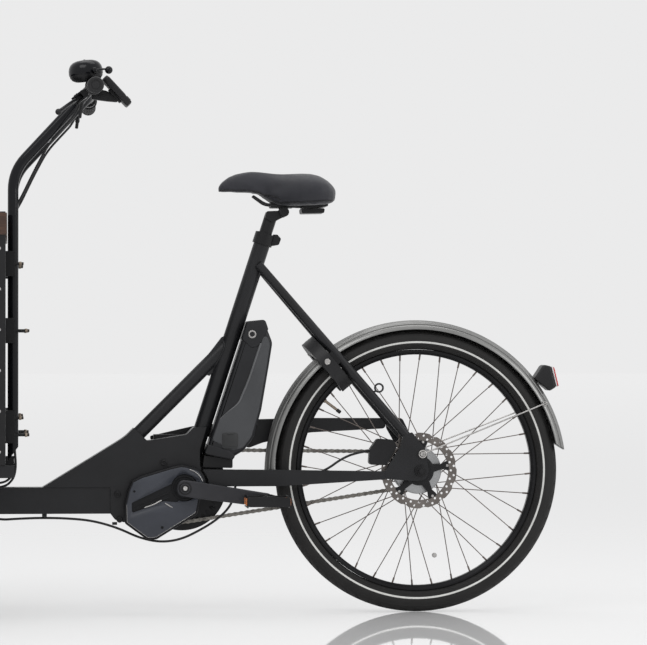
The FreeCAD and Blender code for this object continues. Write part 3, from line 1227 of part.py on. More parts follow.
# lever perches: a band round the bar, a body ahead of it and the pivot pin
LEVER_OUT = V(-0.77, 0, -0.64)
LEVER_AXIS = V(-0.64, 0, 0.77)
perches = []
levers = {}
for word, side in (("left", LEFT), ("right", RIGHT)):
    tube = cylinder(f"perch_bore_{word}", "Sizes.bar_radius", on_bar(side, 180), on_bar(side, 230))
    band_bar = cylinder(f"perch_band_{word}", 15.5, on_bar(side, 196), on_bar(side, 214))
    centre = on_bar(side, 205)
    neck = cylinder(f"perch_neck_{word}", 7.0, centre + LEVER_OUT * 12, centre + LEVER_OUT * 33)
    inward = V(0, -side, 0)
    middle = centre + LEVER_OUT * 27
    master = cylinder(f"perch_master_{word}", 9.2, middle + inward * 34, middle - inward * 9)
    pivot = centre + LEVER_OUT * 40
    cheeks = [cylinder(f"perch_cheek_{word}_{index}", 12.0, pivot + LEVER_AXIS * low, pivot + LEVER_AXIS * high)
              for index, (low, high) in enumerate(((-9.0, -5.2), (5.2, 9.0)))]
    pin = cylinder(f"perch_pin_{word}", 2.5, pivot - LEVER_AXIS * 9, pivot + LEVER_AXIS * 9)
    room = cylinder(f"perch_room_{word}", 13.4, pivot - LEVER_AXIS * 5.2, pivot + LEVER_AXIS * 5.2)
    core = cut(f"perch_core_{word}", joined(f"perch_weld_{word}", [band_bar, neck, master]), [tube])
    perches.append(joined(f"perch_{word}", [cut(f"perch_solid_{word}", core, [room]), *cheeks, pin]))
    outward = V(0, side, 0)
    lever_points = [pivot + outward * 20 + LEVER_OUT * 10, pivot + outward * 62 + LEVER_OUT * 22,
                    pivot + outward * 112 + LEVER_OUT * 50]
    eye = cylinder(f"lever_eye_{word}", 8.5, pivot - LEVER_AXIS * 5.0, pivot + LEVER_AXIS * 5.0)
    blade = doc.addObject("Part::Feature", f"lever_blade_{word}")
    blade.Shape = swept_solid(lever_points, [90], 4.5)
    blade.Placement = FreeCAD.Placement()
    web = cylinder(f"lever_web_{word}", 4.5, pivot, lever_points[0])
    joint_ball = doc.addObject("Part::Sphere", f"lever_knee_{word}")
    joint_ball.Radius = 4.5
    joint_ball.Placement = FreeCAD.Placement(lever_points[0], FreeCAD.Rotation())
    ball = doc.addObject("Part::Sphere", f"lever_ball_{word}")
    ball.Radius = 8.0
    ball.Placement = FreeCAD.Placement(lever_points[-1], FreeCAD.Rotation())
    pin_hole = cylinder(f"lever_hole_{word}", "2.5 + Sizes.running_clearance",
                        pivot - LEVER_AXIS * 9, pivot + LEVER_AXIS * 9)
    lever_weld = joined(f"lever_weld_{word}", [eye, web, joint_ball, blade, ball])
    levers[word] = cut(f"{word}_brake_lever", lever_weld, [pin_hole])
node("lever_perches", grouped("lever_perches", perches))
node("left_brake_lever", levers["left"])
node("right_brake_lever", levers["right"])

# display on a bracket beside the left elbow
display_tilt = FreeCAD.Rotation(V(0, 1, 0), 47.0)
screen = doc.addObject("Part::Box", "display_slab")
screen.Length = 76
screen.Width = 62
screen.Height = 16
screen.Placement = FreeCAD.Placement(at(-640, -150, 1089), display_tilt).multiply(
    FreeCAD.Placement(V(-38, -31, -8), FreeCAD.Rotation()))
arm = plate("display_arm", [(-692, 1072, 4), (-692, 1096, 4), (-662, 1090, 4), (-640, 1078, 4), (-632, 1064, 4),
                            (-660, 1068, 6)], 14.0, y=-150)
display_band = cylinder("display_band", 15.0, on_bar(LEFT, 143), on_bar(LEFT, 157))
bracket = cut("display_bracket", joined("display_bracket_weld", [arm, display_band]), [bar_tubes[0], screen])
node("display", grouped("display", [screen, bracket]))

# bell: a dome that leans ahead over the bar, on a strap, with a thumb lever on its outer side
BELL_AXIS = V(-math.sin(math.radians(18)), 0, math.cos(math.radians(18)))
bell_foot = at(-702, -212, 1118)


def on_bell(name, profile):
    """A piece turned about the bell's axis; corners are (radius, height above the bell's foot)."""
    body = new_body(name, turned(bell_foot, BELL_AXIS))
    sketch = new_sketch(body, "profile")
    draw_outline(sketch, profile)
    feature = body.newObject("PartDesign::Revolution", name + "_turn")
    feature.Profile = sketch
    feature.ReferenceAxis = (sketch, ["V_Axis"])
    return body


bell_dome = on_bell("bell_dome", [
    (0, 33), (14, 32.5, 20), (30, 26, 12), (34, 4, 6), (34, 0), (32, 0), (32, 4, 5), (28, 24, 10),
    (13, 30.5, 18), (0, 31),
])
bell_base = on_bell("bell_base", [(0, -3), (29, -3), (29, 6), (22, 8), (0, 8)])
bell_stem = on_bell("bell_stem", [(0, 8), (5, 8), (5, 31), (0, 31)])
strap_at = on_bar(LEFT, 188)
strap = cylinder("bell_strap", 13.5, on_bar(LEFT, 183), on_bar(LEFT, 193))
strap_post = cylinder("bell_post", 5.0, strap_at + BELL_AXIS * 10, strap_at + BELL_AXIS * 23)
bell_hinge = doc.addObject("Part::Cylinder", "bell_hinge_pin")
bell_hinge.Radius = 2.0
bell_hinge.Height = 11.0
HINGE_SPOT = V(16, -40, -5.5)
bell_hinge.Placement = turned(bell_foot, BELL_AXIS).multiply(FreeCAD.Placement(HINGE_SPOT, FreeCAD.Rotation()))
bell_ear = doc.addObject("Part::Box", "bell_ear")
bell_ear.Length = 8
bell_ear.Width = 25
bell_ear.Height = 3
bell_ear.Placement = turned(bell_foot, BELL_AXIS).multiply(FreeCAD.Placement(V(12, -45, -5.5), FreeCAD.Rotation()))
bell_mount = joined("bell_mount", [bell_base, bell_stem, strap, strap_post, bell_ear, bell_hinge])
node("bell", cut("bell", joined("bell_weld", [bell_mount, bell_dome]), [bar_tubes[0]]))
bell_eye = doc.addObject("Part::Cylinder", "bell_lever_eye")
bell_eye.Radius = 5.0
bell_eye.Height = 5.0
bell_eye.Placement = turned(bell_foot, BELL_AXIS).multiply(
    FreeCAD.Placement(HINGE_SPOT + V(0, 0, 3.6), FreeCAD.Rotation()))
rod_start = turned(bell_foot, BELL_AXIS).multVec(HINGE_SPOT + V(2, 1, 6.1))
rod_end = turned(bell_foot, BELL_AXIS).multVec(HINGE_SPOT + V(27, 12, 6.1))
bell_rod = cylinder("bell_lever_rod", 2.0, rod_start, rod_end)
thumb = doc.addObject("Part::Sphere", "bell_thumb_ball")
thumb.Radius = 6.5
thumb.Placement = FreeCAD.Placement(rod_end, FreeCAD.Rotation())
bell_pin_hole = doc.addObject("Part::Cylinder", "bell_pin_hole")
bell_pin_hole.Radius = 2.0 + size("running_clearance")
bell_pin_hole.Height = 30
bell_pin_hole.Placement = turned(bell_foot, BELL_AXIS).multiply(
    FreeCAD.Placement(HINGE_SPOT - V(0, 0, 10), FreeCAD.Rotation()))
node("bell_lever", cut("bell_lever", joined("bell_lever_weld", [bell_eye, bell_rod, thumb]), [bell_pin_hole]))

# brake cables: from each perch along the diagonal tube, and out of the tubes' feet to the cross tube
cables = []
for word, side in (("left", LEFT), ("right", RIGHT)):
    upper = [at(x, side * y, z) for x, y, z in (
        (-711, 174, 1078), (-722, 157, 1045), (-748, 139, 1016), (-779, 128, 982), (-800, 125, 944),
        (-820, 126, 904), (-838, 128, 866), (-851, 128, 845))]
    lower = [at(x, side * y, z) for x, y, z in (
        (-850, 126, 352), (-847, 124, 326), (-848, 121, 303), (-854, 117, 286), (-868, 112, 273), (-890, 106, 270),
        (-912, 102, 274), (-932, 100, 281))]
    upper_hose = hose(f"upper_cable_whole_{word}", upper)
    cables.append(cut(f"upper_cable_{word}", upper_hose, [bar_weld, perches[0 if side == LEFT else 1]]))
    cables.append(cut(f"lower_cable_{word}", hose(f"lower_cable_whole_{word}", lower),
                      [doc.getObject(f"bar_tube_{word}"), doc.getObject("cross_rear")]))
node("brake_cables", grouped("brake_cables", cables))

# ---------------------------------------------------------------- check and write
doc.recompute()
failed = [item.Name for item in doc.Objects if {"Invalid", "Error"} & set(item.State)]
if failed:
    raise RuntimeError(f"these objects failed: {failed}")
os.makedirs("parts", exist_ok=True)
for part in nodes:
    shape = part.Shape
    if shape.isNull() or not shape.isValid() or not shape.Solids:
        raise RuntimeError(f"{part.Label} has no valid solid")
    shape.exportStep(f"parts/{part.Label}.step")
print(len(nodes), "sub-parts written")
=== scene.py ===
"""The looks of a front-box cargo cycle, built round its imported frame.

Blender's lengths are metres. Most places are written in millimetres from the rear axle along the cycle,
from the middle plane across it and from the ground up, and at() turns them into the frame's metres.
"""
import bmesh
import bpy
import json
import math
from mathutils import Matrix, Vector
from mathutils.bvhtree import BVHTree


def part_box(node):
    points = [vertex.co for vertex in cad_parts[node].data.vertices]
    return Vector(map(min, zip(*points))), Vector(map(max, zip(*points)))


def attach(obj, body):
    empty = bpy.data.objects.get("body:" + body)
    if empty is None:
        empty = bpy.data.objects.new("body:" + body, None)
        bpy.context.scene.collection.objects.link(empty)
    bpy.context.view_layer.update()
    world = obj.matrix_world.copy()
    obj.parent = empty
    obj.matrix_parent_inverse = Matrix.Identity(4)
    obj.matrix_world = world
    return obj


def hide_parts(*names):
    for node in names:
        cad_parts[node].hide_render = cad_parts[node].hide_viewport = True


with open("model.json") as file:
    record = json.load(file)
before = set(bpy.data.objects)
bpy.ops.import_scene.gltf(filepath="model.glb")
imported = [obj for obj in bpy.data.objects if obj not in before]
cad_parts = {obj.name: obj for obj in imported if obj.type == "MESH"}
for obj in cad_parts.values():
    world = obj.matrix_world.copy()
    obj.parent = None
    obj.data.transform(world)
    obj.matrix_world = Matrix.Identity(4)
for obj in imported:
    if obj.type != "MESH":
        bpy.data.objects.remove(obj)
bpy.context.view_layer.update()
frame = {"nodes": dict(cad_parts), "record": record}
NODES = frame["nodes"]
MM = 0.001
LEFT = -1
RIGHT = 1
SIDES = {"left": LEFT, "right": RIGHT}
ALONG = Vector((1, 0, 0))
ACROSS = Vector((0, 1, 0))
UP = Vector((0, 0, 1))


def middle(node):
    """The centre of a CAD node's box."""
    low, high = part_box(node)
    return (low + high) / 2


REAR_AXLE = middle("rear_rim")
CRANK_AXIS = middle("chainring")
WHEELS = {"rear": middle("rear_rim"), "left": middle("left_rim"), "right": middle("right_rim")}


def at(x, y, z):
    """A point from millimetres: from the rear axle, from the middle plane and from the ground."""
    return Vector((REAR_AXLE.x + x * MM, y * MM, z * MM))


def new_object(name, data):
    """An object that is linked to the scene."""
    made = bpy.data.objects.new(name, data)
    bpy.context.scene.collection.objects.link(made)
    return made


def to_mesh(name, bm):
    """Turn a bmesh into a mesh and free it."""
    mesh = bpy.data.meshes.new(name)
    bm.to_mesh(mesh)
    bm.free()
    return mesh


# ---------------------------------------------------------------- camera, lights and floor
def make_camera():
    """A long lens that looks at the cycle's left side, turned a little towards its rear."""
    data = bpy.data.cameras.new("camera")
    data.lens = 189.8
    data.sensor_width = 36.0
    camera = new_object("camera", data)
    place = at(-861, -7200, 565)
    target = at(-197.5, 0, 613)
    camera.location = place
    camera.rotation_euler = (target - place).to_track_quat("-Z", "Y").to_euler()
    data.clip_end = 200.0
    bpy.context.scene.camera = camera


def make_light(name, place, target, width, height, power):
    """A soft rectangular light, in watts."""
    data = bpy.data.lights.new(name, "AREA")
    data.shape = "RECTANGLE"
    data.size = width
    data.size_y = height
    data.energy = power
    light = new_object(name, data)
    light.location = place
    light.rotation_euler = (Vector(target) - Vector(place)).to_track_quat("-Z", "Y").to_euler()


def make_studio():
    """A pale world, three soft lights and a slightly glossy pale floor."""
    scene = bpy.context.scene
    scene.view_settings.view_transform = "Standard"
    world = bpy.data.worlds.new("studio")
    world.use_nodes = True
    world.node_tree.nodes["Background"].inputs["Color"].default_value = (0.83, 0.83, 0.832, 1)
    world.node_tree.nodes["Background"].inputs["Strength"].default_value = 1.0
    scene.world = world
    make_light("key_light", (-1.6, -3.2, 4.4), (0.2, 0, 0.4), 3.0, 2.2, 62)
    make_light("top_light", (0.6, 0.6, 4.6), (0.2, 0, 0.5), 4.0, 2.0, 44)
    make_light("side_light", (4.2, -2.4, 2.2), (0.3, 0, 0.5), 1.6, 2.4, 45)
    bm = bmesh.new()
    bmesh.ops.create_grid(bm, x_segments=8, y_segments=8, size=60.0)
    mesh = to_mesh("floor", bm)
    floor = new_object("floor", mesh)
    floor.location.z = -0.0006
    finish = bpy.data.materials.new("floor_finish")
    finish.use_nodes = True
    shader = finish.node_tree.nodes["Principled BSDF"]
    shader.inputs["Base Color"].default_value = (0.82, 0.82, 0.822, 1)
    shader.inputs["Roughness"].default_value = 0.03
    shader.inputs["IOR"].default_value = 1.35
    mesh.materials.append(finish)


make_camera()
make_studio()


# ---------------------------------------------------------------- materials
def set_inputs(tree, node, inputs):
    """Link each input to its socket, or give it its plain value."""
    for key, value in inputs.items():
        if isinstance(value, bpy.types.NodeSocket):
            tree.links.new(value, node.inputs[key])
        else:
            node.inputs[key].default_value = value


def add_node(tree, kind, inputs=None, **settings):
    """A shader node, with its settings, its numbers and what is linked to it."""
    made = tree.nodes.new("ShaderNode" + kind)
    for key, value in settings.items():
        setattr(made, key, value)
    set_inputs(tree, made, inputs or {})
    return made


def cloud(tree, place, scale, detail=3.0):
    """Soft noise at so many features to the metre."""
    return add_node(tree, "TexNoise", {"Vector": place, "Scale": scale, "Detail": detail}).outputs["Fac"]


def spread(tree, value, low, high, start=0.3, end=0.7):
    """Stretch a pattern's middle range to run from low to high."""
    return add_node(tree, "MapRange", {"Value": value, "From Min": start, "From Max": end,
                                       "To Min": low, "To Max": high}).outputs["Result"]


def blend_colours(tree, share, first, second):
    """A mix of two colours, each a socket or a plain colour."""
    first, second = (colour if isinstance(colour, bpy.types.NodeSocket) else (*colour, 1)
                     for colour in (first, second))
    mix = add_node(tree, "Mix", {0: share, 6: first, 7: second}, data_type="RGBA")
    return mix.outputs[2]


def scaled(colour, share):
    """A colour made lighter or darker."""
    return tuple(min(1.0, channel * share) for channel in colour)


def make_finish(name, colour, rough, metal=0.0, variation=0.18, cloud_scale=14.0, grain_scale=900.0,
                grain_height=0.00004, worn=0.0, edge=0.0012, coat=0.0, coat_rough=0.1, sheen=0.0,
                rough_variation=0.06, shine=0.3, pattern=None, pattern_height=0.0002, tint=None):
    """A worn, grained surface.

    pattern(tree, place) gives a height, and tint(tree, place, colour) a colour.
    """
    finish = bpy.data.materials.new(name)
    finish.use_nodes = True
    tree = finish.node_tree
    shader = tree.nodes["Principled BSDF"]
    place = add_node(tree, "TexCoord").outputs["Object"]
    smudge = cloud(tree, place, cloud_scale)
    fine = cloud(tree, place, grain_scale, 2.0)
    base = blend_colours(tree, spread(tree, smudge, 0, 1), scaled(colour, 1 - variation),
                         scaled(colour, 1 + variation))
    if tint:
        base = tint(tree, place, base)
    rounded = add_node(tree, "Bevel", {"Radius": edge}, samples=4)
    if worn > 0:
        facing = add_node(tree, "NewGeometry").outputs["Normal"]
        dot = add_node(tree, "VectorMath", {0: rounded.outputs["Normal"], 1: facing},
                       operation="DOT_PRODUCT")
        edge_share = spread(tree, dot.outputs["Value"], worn, 0.0, 0.80, 0.99)
        patches = spread(tree, cloud(tree, place, 160.0), 0.2, 1.0)
        broken = add_node(tree, "Math", {0: edge_share, 1: patches}, operation="MULTIPLY").outputs[0]
        base = blend_colours(tree, broken, base, scaled(colour, 4.0))
    dull = spread(tree, smudge, max(0.02, rough - rough_variation), min(1.0, rough + rough_variation))
    bump = add_node(tree, "Bump", {"Height": fine, "Distance": grain_height, "Strength": 1.0,
                                   "Normal": rounded.outputs["Normal"]})
    if pattern:
        bump = add_node(tree, "Bump", {"Height": pattern(tree, place), "Distance": pattern_height,
                                       "Strength": 1.0, "Normal": bump.outputs["Normal"]})
    set_inputs(tree, shader, {"Base Color": base, "Roughness": dull, "Normal": bump.outputs["Normal"],
                              "Metallic": metal, "Specular IOR Level": shine, "Coat Weight": coat,
                              "Coat Roughness": coat_rough, "Sheen Weight": sheen})
    return finish


def away_from(centre):
    """A pattern of fine rings about an axis along Y through a centre."""
    def pattern(tree, place):
        reach = add_node(tree, "VectorMath", {0: place, 1: tuple(centre)}, operation="SUBTRACT")
        flat = add_node(tree, "VectorMath", {0: reach.outputs[0], 1: (1, 0, 1)}, operation="MULTIPLY")
        distance = add_node(tree, "VectorMath", {0: flat.outputs[0]}, operation="LENGTH")
        numbers = {"W": distance.outputs["Value"], "Scale": 2500.0, "Detail": 2.0}
        return add_node(tree, "TexNoise", numbers, noise_dimensions="1D").outputs["Fac"]
    return pattern


def leather_grain(tree, place):
    """The small closed cells of embossed vinyl."""
    cells = add_node(tree, "TexVoronoi", {"Vector": place, "Scale": 900.0}, feature="DISTANCE_TO_EDGE")
    return spread(tree, cells.outputs["Distance"], 0, 1, 0.0, 0.25)


def ply_grain(tree, place):
    """Long shallow grain along the panel under its film."""
    stretched = add_node(tree, "Mapping", {"Vector": place, "Scale": (6.0, 60.0, 160.0)})
    return cloud(tree, stretched.outputs[0], 4.0, 5.0)


def grip_mesh(tree, place):
    """The raised wire-mesh print of an anti-slip floor."""
    waves = []
    for direction in ("X", "Y"):
        waves.append(add_node(tree, "TexWave", {"Vector": place, "Scale": 60.0, "Distortion": 0.0},
                              bands_direction=direction).outputs["Fac"])
    return add_node(tree, "Math", {0: waves[0], 1: waves[1]}, operation="MAXIMUM").outputs[0]


def wood_tint(light):
    """Streaks of a second brown along the grain."""
    def tint(tree, place, colour):
        stretched = add_node(tree, "Mapping", {"Vector": place, "Scale": (8.0, 80.0, 120.0)})
        streak = spread(tree, cloud(tree, stretched.outputs[0], 3.0, 6.0), 0, 1, 0.35, 0.75)
        return blend_colours(tree, streak, colour, light)
    return tint


def brushed(tree, place):
    """Fine drawn lines across a bar."""
    stretched = add_node(tree, "Mapping", {"Vector": place, "Scale": (40.0, 900.0, 900.0)})
    return cloud(tree, stretched.outputs[0], 2.0, 3.0)


# each finish's colour, roughness and what else differs from make_finish's own values
FINISH_TABLE = {
    "frame_paint": ((0.0125, 0.0127, 0.0142), 0.38, {"shine": 0.22, "worn": 0.25,
        "grain_scale": 1500.0, "grain_height": 0.00006, "coat": 0.12, "coat_rough": 0.3}),
    "bar_paint": ((0.0045, 0.0048, 0.0065), 0.20, {"variation": 0.1, "coat": 0.16, "coat_rough": 0.05,
        "shine": 0.16, "grain_height": 0.00001}),
    "box_ply": ((0.0105, 0.0095, 0.009), 0.45, {"coat": 0.1, "coat_rough": 0.3, "pattern": ply_grain,
        "pattern_height": 0.0004, "variation": 0.25, "cloud_scale": 5.0}),
    "floor_ply": ((0.040, 0.030, 0.024), 0.55, {"pattern": grip_mesh, "pattern_height": 0.0008,
        "tint": wood_tint((0.06, 0.04, 0.03))}),
    "trim_paint": ((0.015, 0.015, 0.016), 0.45, {"worn": 0.4, "metal": 0.2}),
    "rim_black": ((0.012, 0.012, 0.013), 0.34, {"metal": 0.6, "variation": 0.1}),
    "steel": ((0.44, 0.43, 0.42), 0.26, {"metal": 1.0, "pattern": brushed, "pattern_height": 0.00003}),
    "spoke_steel": ((0.150, 0.128, 0.118), 0.34, {"metal": 1.0, "variation": 0.1}),
    "hub_alloy": ((0.38, 0.385, 0.39), 0.34, {"metal": 1.0, "edge": 0.0008}),
    "rotor_steel": ((0.165, 0.150, 0.140), 0.36, {"metal": 1.0, "edge": 0.0003, "cloud_scale": 30.0,
        "pattern": away_from(WHEELS["rear"]), "pattern_height": 0.00004}),
    "motor_plastic": ((0.048, 0.052, 0.064), 0.44, {"grain_scale": 2200.0, "grain_height": 0.00005,
        "worn": 0.25}),
    "motor_metal": ((0.007, 0.0072, 0.0085), 0.42, {"grain_scale": 700.0, "grain_height": 0.0001,
        "metal": 0.3}),
    "battery_plastic": ((0.056, 0.058, 0.062), 0.48, {"grain_scale": 2200.0, "grain_height": 0.00006,
        "worn": 0.15, "variation": 0.1}),
    "battery_dark": ((0.012, 0.0125, 0.0145), 0.42, {"grain_scale": 2000.0}),
    # painted highlight: a lighter grey laid along the battery's side crease for the light it catches
    "painted_crease_highlight": ((0.115, 0.117, 0.122), 0.40, {"grain_scale": 2000.0, "variation": 0.1}),
    "flap_rubber": ((0.030, 0.031, 0.032), 0.62, {"sheen": 0.1}),
    "guard_plastic": ((0.235, 0.235, 0.23), 0.30, {"variation": 0.08, "metal": 0.6,
        "grain_height": 0.00002}),
    "black_plastic": ((0.0095, 0.0095, 0.0105), 0.42, {"grain_scale": 1800.0, "worn": 0.2}),
    "lens_red": ((0.55, 0.015, 0.02), 0.12, {"coat": 1.0, "coat_rough": 0.03, "variation": 0.08}),
    "lens_clear": ((0.55, 0.53, 0.53), 0.10, {"coat": 1.0, "coat_rough": 0.03, "variation": 0.05}),
    "chain_steel": ((0.20, 0.19, 0.175), 0.34, {"metal": 1.0, "cloud_scale": 90.0, "variation": 0.35}),
    "black_alloy": ((0.012, 0.012, 0.013), 0.36, {"metal": 0.3, "worn": 0.3}),
    "dark_alloy": ((0.035, 0.035, 0.039), 0.36, {"metal": 0.5, "worn": 0.3, "edge": 0.002}),
    "hose_black": ((0.010, 0.010, 0.011), 0.40, {"sheen": 0.05}),
    "grip_rubber": ((0.013, 0.013, 0.014), 0.66, {"sheen": 0.15}),
    "saddle_vinyl": ((0.022, 0.0225, 0.028), 0.50, {"pattern": leather_grain,
        "pattern_height": 0.00008, "sheen": 0.12, "variation": 0.12, "cloud_scale": 25.0, "edge": 0.0}),
    "tyre_rubber": ((0.0125, 0.012, 0.0118), 0.60, {"grain_scale": 1500.0, "edge": 0.0004,
        "grain_height": 0.0001, "variation": 0.25, "cloud_scale": 22.0}),
    "stripe": ((0.62, 0.62, 0.60), 0.38, {"variation": 0.10, "cloud_scale": 40.0, "edge": 0.0}),
    "brass": ((0.27, 0.225, 0.18), 0.40, {"metal": 1.0}),
    "amber": ((0.48, 0.13, 0.012), 0.14, {"coat": 1.0, "coat_rough": 0.03}),
    "screen_glass": ((0.006, 0.007, 0.009), 0.08, {"coat": 1.0, "coat_rough": 0.02}),
    "top_wood": ((0.050, 0.026, 0.018), 0.44, {"tint": wood_tint((0.085, 0.042, 0.026)),
        "pattern": ply_grain, "pattern_height": 0.0003, "coat": 0.2, "coat_rough": 0.25}),
}
FINISHES = {name: make_finish(name, colour, rough, **more)
            for name, (colour, rough, more) in FINISH_TABLE.items()}


def paint_frame():
    """Every CAD node takes the finish of its own slot, but the rear spokes one of their own."""
    slots = {row["node"]: row["material_slot"] for row in frame["record"]["subparts"]}
    for name, thing in NODES.items():
        for index in range(len(thing.material_slots)):
            thing.material_slots[index].material = FINISHES[slots[name]]
    NODES["rear_spokes"].material_slots[0].material = FINISHES["spoke_steel"]


paint_frame()


# ---------------------------------------------------------------- mesh helpers
def make_piece(name, bm, body, slot, finishes=None, stands_for=(), sharp=32.0):
    """Turn a bmesh into a piece that rides on a body; it wears its slot's finish unless others are named.

    Edges that turn by more than sharp degrees stay crisp.
    """
    bmesh.ops.recalc_face_normals(bm, faces=bm.faces)
    for face in bm.faces:
        face.smooth = True
    for edge in bm.edges:
        if len(edge.link_faces) == 2 and edge.calc_face_angle(0.0) > math.radians(sharp):
            edge.smooth = False
    mesh = to_mesh(name, bm)
    piece = new_object(name, mesh)
    for finish in finishes or [slot]:
        mesh.materials.append(FINISHES[finish])
    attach(piece, body)
    if stands_for:
        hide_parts(*stands_for)
    return piece


def apply_modifiers(piece):
    """Make a piece's evaluated shape its own mesh."""
    depsgraph = bpy.context.evaluated_depsgraph_get()
    shaped = bpy.data.meshes.new_from_object(piece.evaluated_get(depsgraph))
    piece.modifiers.clear()
    piece.data = shaped
    return shaped


def surface_of(mesh):
    """A mesh's surface, ready for rays and nearest points."""
    return BVHTree.FromPolygons([vertex.co for vertex in mesh.vertices],
                                [face.vertices for face in mesh.polygons])


def loft(bm, rings, wrap=False, finish=0):
    """Skin a row of closed rings of equal count; both ends are capped unless the row wraps round."""
    rows = [[bm.verts.new(point) for point in ring] for ring in rings]
    count = len(rows[0])
    pairs = list(zip(rows, rows[1:]))
    if wrap:
        pairs.append((rows[-1], rows[0]))
    for first, second in pairs:
        for index in range(count):
            after = (index + 1) % count
            face = bm.faces.new((first[index], first[after], second[after], second[index]))
            face.material_index = finish
    if not wrap:
        for row in (rows[0], rows[-1]):
            bm.faces.new(row).material_index = finish
    return rows


def cross_frame(axis):
    """Two directions square to an axis and to each other."""
    axis = Vector(axis).normalized()
    first = axis.cross(UP if abs(axis.z) < 0.9 else ALONG).normalized()
    return first, axis.cross(first).normalized()


def spokes(first, second, count):
    """Unit directions evenly all round, in the plane of two square directions."""
    angles = [2 * math.pi * index / count for index in range(count)]
    return [first * math.cos(angle) + second * math.sin(angle) for angle in angles]


def turn(bm, origin, axis, profile, sides=32, finish=0, shape=None):
    """A turned piece: profile is (radius, distance along the axis) in millimetres, from end to end."""
    axis = Vector(axis).normalized()
    directions = spokes(*cross_frame(axis), sides)
    rings = []
    for radius, distance in profile:
        ring = []
        for index, spoke in enumerate(directions):
            share = shape(2 * math.pi * index / sides, radius) if shape else 1.0
            ring.append(origin + axis * distance * MM + spoke * (radius * MM * share))
        rings.append(ring)
    return loft(bm, rings, finish=finish)


def hexagonal(limit):
    """Turn only the rings under a radius into hexagons."""
    def shape(angle, radius):
        if radius > limit:
            return 1.0
        return math.cos(math.pi / 6) / math.cos(angle % (math.pi / 3) - math.pi / 6)
    return shape


def socket_screw(bm, place, axis, radius, height, finish=0):
    """A round screw head with a hexagon socket."""
    socket = radius * 0.55
    turn(bm, place, axis, [(radius, 0), (radius, height * 0.8), (radius * 0.88, height), (socket, height),
                           (socket * 0.96, height * 0.35), (socket * 0.3, height * 0.3)],
         sides=24, finish=finish, shape=hexagonal(socket + 0.01))


def rounded(corners, step=12.0):
    """An outline's points; a corner is (u, v) when sharp, or (u, v, radius) when rounded."""
    points = []
    count = len(corners)
    for index, corner in enumerate(corners):
        here = Vector(corner[:2])
        if len(corner) < 3 or corner[2] == 0:
            points.append(here)
            continue
        back = (Vector(corners[index - 1][:2]) - here).normalized()
        ahead = (Vector(corners[(index + 1) % count][:2]) - here).normalized()
        half = back.angle(ahead) / 2
        reach = corner[2] / math.tan(half)
        centre = here + (back + ahead).normalized() * corner[2] / math.sin(half)
        start = here + back * reach - centre
        swing = math.pi - 2 * half
        side = 1.0 if back.x * ahead.y - back.y * ahead.x < 0 else -1.0
        steps = max(2, round(math.degrees(swing) / step))
        for part in range(steps + 1):
            angle = side * swing * part / steps
            turned = Vector((start.x * math.cos(angle) - start.y * math.sin(angle),
                             start.x * math.sin(angle) + start.y * math.cos(angle)))
            points.append(centre + turned)
    return points


def oblong(u, v, far_u, far_v, radius):
    """A rounded rectangle between two opposite corners."""
    return rounded([(u, v, radius), (far_u, v, radius), (far_u, far_v, radius), (u, far_v, radius)])


def drawn_in(points, distance):
    """An outline moved inwards by a distance."""
    area = sum(a.x * b.y - b.x * a.y for a, b in zip(points, points[1:] + points[:1]))
    side = 1.0 if area > 0 else -1.0
    moved = []
    count = len(points)
    for index, here in enumerate(points):
        back = (here - points[index - 1]).normalized()
        ahead = (points[(index + 1) % count] - here).normalized()
        normal = Vector((-(back.y + ahead.y), back.x + ahead.x)) * side
        if normal.length < 1e-9:
            normal = Vector((-back.y, back.x)) * side
        normal.normalize()
        straight = max(0.5, normal.dot(Vector((-back.y, back.x)) * side))
        moved.append(here + normal * distance / straight)
    return moved


def side_view(u, v, w):
    """Places an outline's point: u along the cycle, v up, w across it."""
    return at(u, w, v)


def slab(bm, points, low, high, edge=0.0, steps=3, place=side_view, finish=0):
    """A thick plate from an outline, between two levels in either order, with both rims rounded."""
    low, high = sorted((low, high))
    rings = []
    if edge == 0:
        layers = [(0.0, low), (0.0, high)]
    else:
        curve = [(1 - math.sin(math.pi / 2 * part / steps), 1 - math.cos(math.pi / 2 * part / steps))
                 for part in range(steps + 1)]
        layers = [(edge * inward, low + edge * rise) for inward, rise in curve]
        layers += [(edge * inward, high - edge * rise) for inward, rise in reversed(curve)]
    for inward, w in layers:
        rings.append([place(point.x, point.y, w) for point in drawn_in(points, inward)])
    return loft(bm, rings, finish=finish)


def tube(bm, points, radius, sides=12, closed=False):
    """A round bar along points; radius is one number or one for each point."""
    count = len(points)
    radii = radius if isinstance(radius, (list, tuple)) else [radius] * count
    normal = None
    rings = []
    for index, here in enumerate(points):
        before = points[index - 1] if index or closed else here
        after = points[(index + 1) % count] if index < count - 1 or closed else here
        heading = (after - before).normalized()
        if normal is None:
            normal = cross_frame(heading)[0]
        normal = (normal - heading * normal.dot(heading)).normalized()
        directions = spokes(normal, heading.cross(normal), sides)
        rings.append([here + spoke * radii[index] * MM for spoke in directions])
    return loft(bm, rings, wrap=closed)


def curved(points, per_run=8):
    """A smooth line through points."""
    line = []
    last = len(points) - 1
    for index in range(last):
        p0, p1, p2, p3 = (points[max(0, min(last, index + shift))] for shift in (-1, 0, 1, 2))
        for part in range(per_run):
            t = part / per_run
            line.append(0.5 * (2 * p1 + (p2 - p0) * t + (2 * p0 - 5 * p1 + 4 * p2 - p3) * t * t
                               + (3 * p1 - p0 - 3 * p2 + p3) * t ** 3))
    line.append(points[-1])
    return line


def on_crank(y):
    """The point of the crank's axis at y millimetres."""
    return Vector((CRANK_AXIS.x, y * MM, CRANK_AXIS.z))


def wheel_point(centre, radius, angle, y):
    """A point on a circle about a wheel's axis; radius and y in millimetres, angle in radians."""
    return centre + (ALONG * math.cos(angle) + UP * math.sin(angle)) * radius * MM + ACROSS * y * MM


